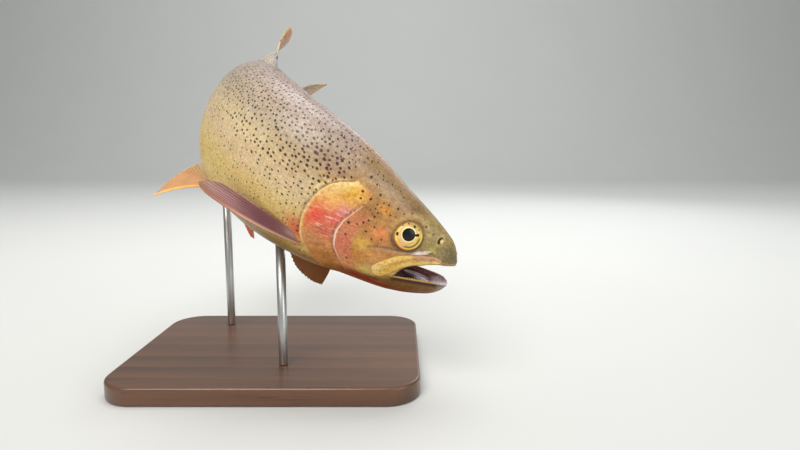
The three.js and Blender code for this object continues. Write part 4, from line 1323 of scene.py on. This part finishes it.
FIN_SIDE_STEPS = np.array([0, 0.003, 0.008, 0.016, 0.028])
FIN_TIP_STEPS = [0.955, 0.975, 0.988, 0.996, 1.0]
FIN_OUT_STEPS = np.concatenate([[0, 0.01, 0.03], np.linspace(0.06, 0.93, 22), FIN_TIP_STEPS])
RAG_START = 0.3
FORK_START, FORK_END = 0.42, 0.62


def fin_rays(rays, side=1, bow=(0, 0, 0)):
    """Root, middle and tip of each ray on one side, with a middle bowed out where none is given."""
    out = []
    for ray in rays:
        root, tip = np.array(ray[0], float), np.array(ray[-1], float)
        middle = np.array(ray[1], float) if len(ray) == 3 else (root + tip) / 2 + np.array(bow) * [1, side, 1]
        out.append(np.stack([root, middle, tip]) * [1, side, 1])
    return np.array(out)


def fin_surface(rays, across, out):
    """Points of the fin's middle sheet, with each ray a parabola from root to tip."""
    guides = np.arange(len(rays))
    smooth_rays = np.empty((len(across), 3, 3))
    for k in range(3):
        for axis in range(3):
            smooth_rays[:, k, axis] = curve(list(zip(guides, rays[:, k, axis])))(across * (len(rays) - 1))
    root, middle, tip = (smooth_rays[:, k, None] for k in range(3))
    t = out[..., None]
    return root * (1 - t) * (1 - 2 * t) + 4 * middle * t * (1 - t) + tip * t * (2 * t - 1)


def fin_places(points, places, flat):
    """Places on the fin of the merged mesh's points, found by their position."""
    table = {tuple(p): c for p, c in zip(np.round(points, 2).tolist(), places.tolist())}
    return np.array([table.get(tuple(p), (0.5, 0.0, 1.0)) for p in np.round(flat, 2).tolist()])


def build_fin(name, node, rays, ray_count, tint, look, thick=(1.5, 0.5),
              rough_edge=0.012, web_fall=0.35, spots=0.0, branch=2, ribs=0.75):
    """A thin closed fin with raised, branching rays and a slightly ragged margin."""
    rows = np.linspace(0.045, 0.955, ray_count * 6)
    u = np.concatenate([FIN_SIDE_STEPS, rows, 1 - FIN_SIDE_STEPS[::-1]])
    t = FIN_OUT_STEPS
    comb = np.cos(2 * math.pi * u * ray_count)
    rag = -rough_edge * (0.5 - 0.5 * comb) - rough_edge * 0.6 * np.sin(u * 37.0) ** 2
    ragged = t * np.where(t > RAG_START, 1 + rag[:, None] * (t - RAG_START) / (1 - RAG_START), 1)
    middle = fin_surface(rays, u, ragged)
    normal = grid_normal(middle)
    span = np.linalg.norm(np.diff(middle, axis=0), axis=2)
    across = np.vstack([np.zeros(len(t)), np.cumsum(span, axis=0)])
    reach = np.linalg.norm(middle[:, -1] - middle[:, 0], axis=1)[:, None]
    to_edge = np.minimum(np.minimum(across, across[-1] - across), (1 - t) * reach)
    forked = np.cos(2 * branch * math.pi * u * ray_count + math.pi * (branch - 1))
    outer = smooth(FORK_START, FORK_END, t)
    rib = (1 - outer) * (0.5 + 0.5 * comb[:, None]) + outer * (0.5 + 0.5 * forked[:, None])
    body = thick[0] + (thick[1] - thick[0]) * t ** 0.8
    lead = 1 + 0.35 * np.exp(-across / 1.5)
    rims = edge_round(to_edge, 0.9), edge_round(t * reach, 0.8)
    half = body / 2 * lead * (1 - web_fall * (1 - rib)) * rims[0] * rims[1]
    mesh, flat = two_faced(name, middle, normal, half, half)
    faces = np.concatenate([middle + normal * half[..., None], middle - normal * half[..., None]])
    grid_u, grid_t = np.meshgrid(u, t, indexing="ij")
    places = np.concatenate([np.stack([grid_u, grid_t, to_edge], -1)] * 2)
    where = fin_places(faces.reshape(-1, 3), places.reshape(-1, 3), flat)
    put_tint(mesh, tint(*where.T))
    put_columns(mesh, "fin_co", where[:, 0] * ray_count, where[:, 1], where[:, 2])
    put_columns(mesh, "marks", spots, 1)
    return new_object(name, mesh, fin_material(name, look, branch, ribs), node)


def fin_material(name, look, branch, ribs):
    """Web darker than its branching rays, with joints along the rays and a few spots."""
    kit = Nodes("trout_" + name, Roughness=0.46, Coat_Weight=0.14, Coat_Roughness=0.24, IOR=1.4,
                Subsurface_Weight=0.08, Subsurface_Scale=0.003)
    where = kit.attribute("flat_co")
    place_on = kit.split(kit.attribute("fin_co"))
    tint = kit.attribute("tint", "Color")
    marks = kit.split(kit.attribute("marks"))
    wobble = kit.math("MULTIPLY_ADD", kit.noise(where, 0.12, 2), 0.5, place_on[0])
    first = kit.wave(kit.times(wobble, 2 * math.pi))
    second = kit.wave(kit.times(wobble, 2 * branch * math.pi))
    outer = kit.fade(place_on[1], 0.25, 0.55)
    line = kit.math("ADD", kit.times(first, kit.math("SUBTRACT", 1.0, outer)), kit.times(second, outer))
    line = kit.math("POWER", line, 1.6)
    joints = kit.math("MULTIPLY_ADD", kit.math("COSINE", kit.times(place_on[1], 220.0)), 0.12, 0.88)
    web = kit.times(kit.math("SUBTRACT", 1.0, line), ribs)
    colour = kit.mix(web, tint, (0.46, 0.36, 0.38), "MULTIPLY")
    colour = kit.mix(kit.times(line, ribs), colour, (1.4, 1.48, 1.48), "MULTIPLY")
    clouds = kit.fade(kit.noise(where, 0.16, 3), 0.4, 0.7, 0.0, 0.25)
    colour = kit.mix(clouds, colour, (0.6, 0.5, 0.46), "MULTIPLY")
    dots = kit.cells(where, 0.24)
    chosen = kit.fade(kit.math("SUBTRACT", marks[0], kit.split(dots.outputs["Color"])[0]), 0.0, 0.03)
    dot = kit.times(kit.fade(dots.outputs["Distance"], 0.36, 0.26), chosen)
    colour = kit.mix(kit.times(dot, 0.85), colour, look.spot[:3])
    return kit.set(Base_Color=colour, Normal=kit.bump(kit.times(line, joints), 0.0003, 0.6))


# Tints of the fins: u runs across the rays, t along them and edge is the distance from the margin
def dorsal_tint(u, t, edge):
    leaf = smooth(0.42, 0.56, t)
    paint = Paint(linear(196, 186, 172), len(u))
    paint.wash((176, 170, 184), 0.9 * fall(0.04, 0.2, u) * fall(0.35, 0.5, t))
    paint.wash((206, 168, 130), leaf * fall(0.36, 0.5, u))
    paint.wash((186, 174, 160), leaf * smooth(0.36, 0.5, u))
    paint.wash((176, 126, 108), 0.8 * leaf * bell(u, 0.3, 0.14) * bell(t, 0.75, 0.16))
    paint.wash((214, 142, 84), 0.9 * leaf * bell(u, 0.12, 0.05))
    paint.wash((250, 232, 168), 0.95 * fall(0.02, 0.075, u) * smooth(0.36, 0.5, t))
    paint.wash((84, 70, 66), 0.6 * patch(u, t, (0.3, 0.52), (0.12, 0.035)))
    return paint.wash((226, 200, 142), 0.8 * fall(0.2, 1.6, edge) * smooth(0.6, 0.85, t) * (u < 0.45))


def tail_tint(u, t, edge):
    paint = Paint(linear(160, 144, 118), len(u))
    paint.wash((186, 154, 104), smooth(0.4, 0.9, t))
    return paint.wash((222, 198, 124), 0.8 * fall(0.3, 2.5, edge))


def adipose_tint(u, t, edge):
    return Paint(linear(176, 152, 112), len(u)).wash((70, 62, 52), 0.7 * fall(0.2, 1.4, edge))


def anal_tint(u, t, edge):
    paint = Paint(linear(218, 150, 106), len(u))
    return paint.wash((248, 226, 190), 0.9 * bell(u, 0.0, 0.06) * smooth(0.3, 0.6, t))


def folded_pectoral_tint(u, t, edge):
    paint = Paint(linear(146, 98, 94), len(u))
    paint.wash((118, 66, 72), 0.85 * bell(t, 0.45, 0.24) * smooth(0.12, 0.4, u))
    paint.wash((138, 98, 82), smooth(0.72, 1.0, t))
    paint.wash((208, 162, 132), 0.95 * fall(0.1, 0.26, u) * (1 - 0.6 * smooth(0.5, 0.9, t)))
    paint.wash((224, 190, 176), 0.55 * bell(t, 0.15, 0.07) * bell(u, 0.7, 0.3))
    return paint.wash((216, 134, 84), 0.9 * fall(0.02, 0.14, t))


def spread_pectoral_tint(u, t, edge):
    paint = Paint(linear(134, 74, 8), len(u))
    paint.wash((156, 108, 52), 0.7 * smooth(0.6, 0.95, t))
    return paint.wash((168, 74, 30), 0.8 * fall(0.05, 0.35, t))


def near_pelvic_tint(u, t, edge):
    paint = Paint(linear(198, 146, 98), len(u))
    paint.wash((188, 158, 104), 0.8 * smooth(0.72, 0.95, u))
    paint.wash((255, 190, 94), 0.95 * fall(0.03, 0.16, u))
    return paint.wash((236, 200, 156), 0.4 * fall(0.2, 1.6, edge) * smooth(0.7, 0.9, t))


def far_pelvic_tint(u, t, edge):
    return Paint(linear(236, 118, 70), len(u)).wash((240, 200, 150), 0.7 * fall(0.2, 1.4, edge))


def build_single_fins(look):
    build_fin("dorsal_blade", "dorsal_fin", fin_rays(DORSAL), 12, dorsal_tint, look, spots=0.6, ribs=0.45)
    build_fin("adipose_lobe", "adipose_fin", fin_rays(ADIPOSE), 4, adipose_tint, look,
              thick=(2.2, 1.2), rough_edge=0.0, web_fall=0.08, spots=0.4)
    build_fin("anal_blade", "anal_fin", fin_rays(ANAL), 11, anal_tint, look)
    build_fin("tail_blade", "caudal_fin", fin_rays(CAUDAL), 22, tail_tint, look, spots=0.7)


def build_paired_fins(look):
    build_fin("pectoral_blade_right", "pectoral_fin_right", fin_rays(PECTORAL_FOLDED, -1), 10,
              folded_pectoral_tint, look, branch=1)
    build_fin("pectoral_blade_left", "pectoral_fin_left", fin_rays(PECTORAL_SPREAD), 14,
              spread_pectoral_tint, look)
    build_fin("pelvic_blade_right", "pelvic_fin_right", fin_rays(PELVIC_RIGHT, -1), 10,
              near_pelvic_tint, look, ribs=0.3)
    build_fin("pelvic_blade_left", "pelvic_fin_left", fin_rays(PELVIC_LEFT, 1, (0, 3, 0)), 10,
              far_pelvic_tint, look, ribs=0.3)


# ---- mouth ----
TONGUE = {"s": 20, "z": -27.4, "length": 22, "width": 8, "height": 3, "tilt": 0.06}


def build_mouth(look):
    build_tongue()
    build_teeth(look)


def build_tongue():
    """Pale tongue with a groove down its middle, darker along the groove and with painted shade towards the
    throat.
    """
    bm = bmesh.new()
    bmesh.ops.create_uvsphere(bm, u_segments=40, v_segments=28, radius=1.0)
    bmesh.ops.rotate(bm, verts=bm.verts[:], matrix=Matrix.Rotation(math.pi / 2, 3, "Y"))
    mesh = mesh_from(bm, "tongue_flesh")
    x, y, z = (read_points(mesh) * [TONGUE["length"] / 2, TONGUE["width"] / 2, TONGUE["height"] / 2]).T
    groove = 0.35 * bell(y, 0, 0.9) * fall(5, 10, np.abs(x))
    z = z + (0.1 * np.sin(x * 1.7) - groove) * (z > 0)
    c, t = math.cos(TONGUE["tilt"]), math.sin(TONGUE["tilt"])
    bend_to_pose(mesh, np.stack([TONGUE["s"] + x * c + z * t, y, TONGUE["z"] + z * c - x * t], -1))
    shade_smooth(mesh)
    kit = Nodes("trout_tongue", Roughness=0.5, Coat_Weight=0.2, Coat_Roughness=0.2,
                Subsurface_Weight=0.1, Subsurface_Scale=0.003)
    where = kit.attribute("flat_co")
    bumps = kit.noise(where, 1.4, 3, 0.6)
    colour = kit.mix(kit.fade(bumps, 0.4, 0.66), linear(226, 216, 240), linear(176, 160, 186))
    # Painted shade: the tongue darkens towards the throat
    rear = kit.fade(kit.split(where)[0], 15.0, 23.0)
    middle = kit.fade(kit.math("ABSOLUTE", kit.split(where)[1]), 2.2, 1.0)
    colour = kit.mix(kit.math("MAXIMUM", rear, middle), colour, linear(112, 70, 68))
    kit.set(Base_Color=colour, Normal=kit.bump(bumps, 0.0003, 0.6))
    new_object("tongue_flesh", mesh, kit.material, "tongue")


def build_teeth(look):
    """Small pointed teeth along both jaws."""
    rng = np.random.default_rng(look.seed + 5)
    teeth = []
    for side in (-1, 1):
        for s in np.arange(2.5, 31, 1.75):
            lip_y = surface(s, angle_at_height(s, lip_at(s)))[1]
            root = (s + rng.normal(0, 0.15), side * (lip_y - 0.75), lip_at(s) + 0.15)
            teeth.append((root, (0.1, -0.12 * side, -1.0), 0.95 + rng.normal(0, 0.1)))
        for s in np.arange(-1.6, 27, 1.85):
            mid = mid_at(max(s, 4))
            rim_angle = math.acos((jaw_rim_at(s) - mid) / (mid - jaw_keel_at(s)))
            rim_y = jaw_width_at(s) * math.sin(rim_angle)
            root = (s + rng.normal(0, 0.15), side * max(rim_y - 0.8, 0.3), jaw_rim_at(s) - 0.1)
            teeth.append((root, (0.15, -0.15 * side, 1.0), 0.9 + rng.normal(0, 0.1)))
    bm = bmesh.new()
    for root, lean, height in teeth:
        turn = Vector((0, 0, 1)).rotation_difference(Vector(lean)).to_matrix().to_4x4()
        spot = Matrix.Translation(Vector(root) + Vector(lean).normalized() * height * 0.4) @ turn
        bmesh.ops.create_cone(bm, cap_ends=True, cap_tris=True, segments=8, radius1=0.28, radius2=0.04,
                              depth=height, matrix=spot)
    mesh = mesh_from(bm, "teeth")
    bend_to_pose(mesh, read_points(mesh))
    shade_smooth(mesh)
    kit = Nodes("trout_teeth", Roughness=0.25, Coat_Weight=0.4, Coat_Roughness=0.1)
    grain = kit.noise(kit.attribute("flat_co"), 1.2, 2)
    kit.set(Base_Color=kit.mix(grain, linear(238, 228, 200), linear(206, 186, 142)))
    new_object("teeth", mesh, kit.material)


# ---- stand, in metres ----
BASE_CORNER, BASE_RIM, ROD_FOOT = 0.026, 0.002, 0.0005


def bevel(bm, edges, offset, segments):
    """Round off the edges."""
    bmesh.ops.bevel(bm, geom=edges, offset=offset, segments=segments, affect="EDGES", profile=0.5,
                    material=-1)


def build_stand(look):
    build_base(look)
    build_rods()


def build_base(look):
    """The wooden base, with round corners and a softened rim."""
    low, high = (Vector(v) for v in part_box("stand_base"))
    block = Matrix.Translation((low + high) / 2) @ Matrix.Diagonal((*(high - low), 1))
    bm = bmesh.new()
    bmesh.ops.create_cube(bm, size=1.0, matrix=block)

    def rise(edge):
        return abs(edge.verts[0].co.z - edge.verts[1].co.z)

    bevel(bm, [e for e in bm.edges if rise(e) > 0.001], BASE_CORNER, 20)
    level = [e for e in bm.edges if rise(e) < 1e-6 and len(e.link_faces) == 2]
    turns = [abs(e.link_faces[0].normal.z - e.link_faces[1].normal.z) for e in level]
    bevel(bm, [e for e, turn in zip(level, turns) if turn > 0.5], BASE_RIM, 5)
    mesh = mesh_from(bm, "stand_plinth")
    mesh.polygons.foreach_set("use_smooth", [p.area < 2e-4 for p in mesh.polygons])
    new_object("stand_plinth", mesh, wood_material(look), "stand_base")


def wood_material(look):
    """Brown wood with growth bands, streaks and fine pores along its length."""
    kit = Nodes("stand_wood", Roughness=0.34, Coat_Weight=0.3, Coat_Roughness=0.2)
    where = kit.object_place()
    grain = kit.mapped(where, Scale=(2.2, 26.0, 26.0))
    streaks = kit.noise(grain, 1.3, 4, 0.55)
    wave = {"Scale": 0.55, "Distortion": 5.5, "Detail": 3.0, "Detail Scale": 0.8}
    bands = kit.made_from(grain, "ShaderNodeTexWave", wave, bands_direction="Y", wave_profile="SAW")
    pores = kit.noise(kit.mapped(where, Scale=(30.0, 900.0, 900.0)), 1.0, 2, 0.6)
    wood = look.wood[:3]
    dark, darkest, pale = (tuple(min(1, c * share) for c in wood) for share in (0.45, 0.2, 1.45))
    colour = kit.mix(bands.outputs["Fac"], wood, dark)
    colour = kit.mix(kit.fade(streaks, 0.35, 0.7, 0.0, 0.5), colour, pale)
    colour = kit.mix(kit.fade(pores, 0.58, 0.7, 0.0, 0.5), colour, darkest)
    return kit.set(Base_Color=colour, Normal=kit.bump(pores, 0.0001, 0.4))


def steel_material():
    """Brushed steel."""
    kit = Nodes("stand_steel", Metallic=1.0)
    grain = kit.noise(kit.mapped(kit.object_place(), Scale=(40.0, 40.0, 900.0)), 1.0, 2, 0.6)
    return kit.set(Base_Color=kit.mix(grain, linear(196, 195, 192), linear(184, 184, 183)),
                   Roughness=kit.fade(grain, 0.3, 0.7, 0.34, 0.42))


def build_rods():
    """The two upright rods, each with a softened foot."""
    steel = steel_material()
    for name in ("front", "rear"):
        low, high = (Vector(v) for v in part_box(f"stand_rod_{name}"))
        radius = (high.x - low.x) / 2
        bm = bmesh.new()
        bmesh.ops.create_cone(bm, cap_ends=True, segments=48, radius1=radius, radius2=radius,
                              depth=high.z - low.z, matrix=Matrix.Translation((low + high) / 2))
        foot = [e for e in bm.edges if all(v.co.z < low.z + 1e-6 for v in e.verts)]
        bevel(bm, foot, ROD_FOOT, 2)
        mesh = mesh_from(bm, f"stand_post_{name}")
        mesh.polygons.foreach_set("use_smooth", [abs(p.normal.z) < 0.9 for p in mesh.polygons])
        new_object(f"stand_post_{name}", mesh, steel, f"stand_rod_{name}")


# ---- stage, in metres ----
FLOOR_HALF_WIDTH, FLOOR_LENGTH, FLOOR_NEAR_EDGE = 20, 12, -3.5
FLOOR_LEVEL_RUN, FLOOR_CURVE = 6.0, 1.6
AIM = (0.0, 0.0, 0.17)
# Each light: place, aim, size, share of the key light's power and tint
LIGHTS = {
    "key_light": ((-0.5, -1.2, 1.5), AIM, 1.2, 1.0, (1.0, 0.98, 0.94)),
    "fill_light": ((1.3, -1.1, 0.55), AIM, 1.1, 0.3, (0.96, 0.98, 1.0)),
    "top_light": ((0.1, 0.1, 1.5), AIM, 1.1, 0.4, (1.0, 1.0, 1.0)),
    "back_light": ((0.7, 1.2, 0.9), AIM, 0.8, 0.15, (0.96, 0.98, 1.0)),
    "backdrop_light": ((0.0, 0.9, 2.6), (0.0, 4.1, 1.2), 4.0, 2.6, (0.98, 0.99, 1.0)),
}
SKY_COLOUR, SKY_STRENGTH = (0.86, 0.9, 0.92, 1), 0.36
CAMERA_PLACE, CAMERA_DIP = (0.100, -0.455, 0.180), 8
SENSOR_WIDTH, FOCAL_PIXELS, PICTURE_PIXELS = 36.0, 564.28, 800.0


def build_stage(look):
    """The floor, the lights, the sky and the camera."""
    build_floor(look)
    for name, (spot, aim, size, share, tint) in LIGHTS.items():
        lamp = bpy.data.lights.new(name, "AREA")
        lamp.shape, lamp.size, lamp.energy, lamp.color = "DISK", size, look.key_power * share, tint
        light = link_new(name, lamp)
        light.location = spot
        light.rotation_euler = (Vector(aim) - Vector(spot)).to_track_quat("-Z", "Y").to_euler()
    scene = bpy.context.scene
    scene.world = bpy.data.worlds.new("studio")
    scene.world.use_nodes = True
    sky = scene.world.node_tree.nodes["Background"].inputs
    sky["Color"].default_value, sky["Strength"].default_value = SKY_COLOUR, SKY_STRENGTH
    scene.view_settings.view_transform = "Standard"
    lens = bpy.data.cameras.new("camera")
    lens.sensor_width = SENSOR_WIDTH
    lens.lens = FOCAL_PIXELS * SENSOR_WIDTH / PICTURE_PIXELS
    lens.clip_start = 0.02
    scene.camera = link_new("camera", lens)
    scene.camera.location = CAMERA_PLACE
    scene.camera.rotation_euler = (math.radians(90 - CAMERA_DIP), 0, 0)


def build_floor(look):
    """A pale floor that curves up behind the fish."""
    bm = bmesh.new()
    bmesh.ops.create_grid(bm, x_segments=2, y_segments=60, size=1.0)
    for v in bm.verts:
        back = (v.co.y + 1) / 2 * FLOOR_LENGTH
        past = max(0, back - FLOOR_LEVEL_RUN)
        turn = min(past / FLOOR_CURVE, math.pi / 2)
        v.co.x *= FLOOR_HALF_WIDTH
        v.co.y = min(back, FLOOR_LEVEL_RUN) + FLOOR_NEAR_EDGE + FLOOR_CURVE * math.sin(turn)
        v.co.z = FLOOR_CURVE * (1 - math.cos(turn)) + max(0, past - FLOOR_CURVE * math.pi / 2)
    bmesh.ops.recalc_face_normals(bm, faces=bm.faces[:])
    mesh = mesh_from(bm, "studio_floor")
    shade_smooth(mesh)
    kit = Nodes("studio_floor", Roughness=0.75)
    grain = kit.noise(kit.object_place(), 3.0, 3)
    kit.set(Base_Color=kit.mix(grain, look.floor[:3], tuple(c * 0.96 for c in look.floor[:3])))
    mesh.materials.append(kit.material)
    link_new("studio_floor", mesh)


# ---- settings ----
def colour_setting(name, description, rgb):
    """Colour property whose default is given in numbers from 0 to 255."""
    return bpy.props.FloatVectorProperty(
        name=name, description=description, subtype="COLOR", size=4, min=0, max=1, default=(*linear(*rgb), 1))


class TroutSettings(bpy.types.PropertyGroup):
    """Sizes and colours of the trout and its studio"""
    back: colour_setting("Back", "Colour along the back", (160, 141, 132))
    shoulder: colour_setting("Shoulder", "Colour of the upper side", (176, 156, 132))
    flank: colour_setting("Flank", "Colour of the middle of the side", (220, 198, 154))
    low_flank: colour_setting("Lower flank", "Colour of the lower side", (228, 196, 116))
    belly: colour_setting("Belly", "Colour of the belly", (238, 214, 172))
    band: colour_setting("Band", "Rosy band along the side", (214, 150, 128))
    spot: colour_setting("Spots", "Colour of the dark spots", (38, 22, 22))
    wood: colour_setting("Wood", "Colour of the stand's base", (96, 62, 40))
    floor: colour_setting("Floor", "Colour of the studio floor", (202, 202, 199))
    spot_spacing: bpy.props.FloatProperty(
        name="Spot spacing", description="Distance between spots, in millimetres",
        default=3.4, min=2, max=15)
    scale_pitch: bpy.props.FloatProperty(
        name="Scale spacing", description="Distance between rows of scales, in millimetres",
        default=2.3, min=1.5, max=6)
    scale_variation: bpy.props.FloatProperty(
        name="Scale variation", description="How much the scales differ in brightness",
        default=0.12, min=0, max=1, subtype="FACTOR")
    key_power: bpy.props.FloatProperty(
        name="Key light", description="Power of the main light",
        default=28.0, min=0, unit="POWER")
    seed: bpy.props.IntProperty(name="Seed", description="Start of the random numbers", default=7, min=0)


def look():
    return bpy.context.scene.trout_settings


class TROUT_OT_skin(bpy.types.Operator):
    """Build the one skin over head, jaws, gill covers and trunk"""
    bl_idname = "trout.skin"
    bl_label = "Skin"

    def execute(self, context):
        build_skin(look())
        return {"FINISHED"}


class TROUT_OT_scales(bpy.types.Operator):
    """Lay the coat of small overlapping scales"""
    bl_idname = "trout.scales"
    bl_label = "Scales"

    def execute(self, context):
        build_scales(look())
        return {"FINISHED"}


class TROUT_OT_eyes(bpy.types.Operator):
    """Build both eyes"""
    bl_idname = "trout.eyes"
    bl_label = "Eyes"

    def execute(self, context):
        build_eyes()
        return {"FINISHED"}


class TROUT_OT_blades(bpy.types.Operator):
    """Build the bony blades of the upper jaw"""
    bl_idname = "trout.blades"
    bl_label = "Jaw blades"

    def execute(self, context):
        build_blades(look())
        return {"FINISHED"}


class TROUT_OT_mouth(bpy.types.Operator):
    """Build the tongue and the teeth"""
    bl_idname = "trout.mouth"
    bl_label = "Tongue and teeth"

    def execute(self, context):
        build_mouth(look())
        return {"FINISHED"}


class TROUT_OT_single_fins(bpy.types.Operator):
    """Build the dorsal, adipose, anal and tail fins"""
    bl_idname = "trout.single_fins"
    bl_label = "Single fins"

    def execute(self, context):
        build_single_fins(look())
        return {"FINISHED"}


class TROUT_OT_paired_fins(bpy.types.Operator):
    """Build the pectoral and pelvic fins"""
    bl_idname = "trout.paired_fins"
    bl_label = "Paired fins"

    def execute(self, context):
        build_paired_fins(look())
        return {"FINISHED"}


class TROUT_OT_stand(bpy.types.Operator):
    """Build the wooden base and the two rods"""
    bl_idname = "trout.stand"
    bl_label = "Stand"

    def execute(self, context):
        build_stand(look())
        return {"FINISHED"}


class TROUT_OT_stage(bpy.types.Operator):
    """Build the floor, the lights and the camera"""
    bl_idname = "trout.stage"
    bl_label = "Stage"

    def execute(self, context):
        build_stage(look())
        return {"FINISHED"}


class TROUT_PT_panel(bpy.types.Panel):
    """Sizes, colours and the steps of the model"""
    bl_idname = "TROUT_PT_panel"
    bl_label = "Trout"
    bl_space_type = "VIEW_3D"
    bl_region_type = "UI"
    bl_category = "Trout"

    def draw(self, context):
        for key in TroutSettings.__annotations__:
            self.layout.prop(context.scene.trout_settings, key)
        for step in STEPS:
            self.layout.operator(step.bl_idname)


STEPS = (TROUT_OT_skin, TROUT_OT_scales, TROUT_OT_eyes, TROUT_OT_blades, TROUT_OT_mouth, TROUT_OT_single_fins,
         TROUT_OT_paired_fins, TROUT_OT_stand, TROUT_OT_stage)
CLASSES = (TroutSettings, *STEPS, TROUT_PT_panel)


def register():
    for item in CLASSES:
        bpy.utils.register_class(item)
    bpy.types.Scene.trout_settings = bpy.props.PointerProperty(type=TroutSettings)


def unregister():
    del bpy.types.Scene.trout_settings
    for item in reversed(CLASSES):
        bpy.utils.unregister_class(item)


def main():
    register()
    bpy.ops.trout.skin()
    bpy.ops.trout.scales()
    bpy.ops.trout.eyes()
    bpy.ops.trout.blades()
    bpy.ops.trout.mouth()
    bpy.ops.trout.single_fins()
    bpy.ops.trout.paired_fins()
    bpy.ops.trout.stand()
    bpy.ops.trout.stage()


if __name__ == "__main__":
    main()
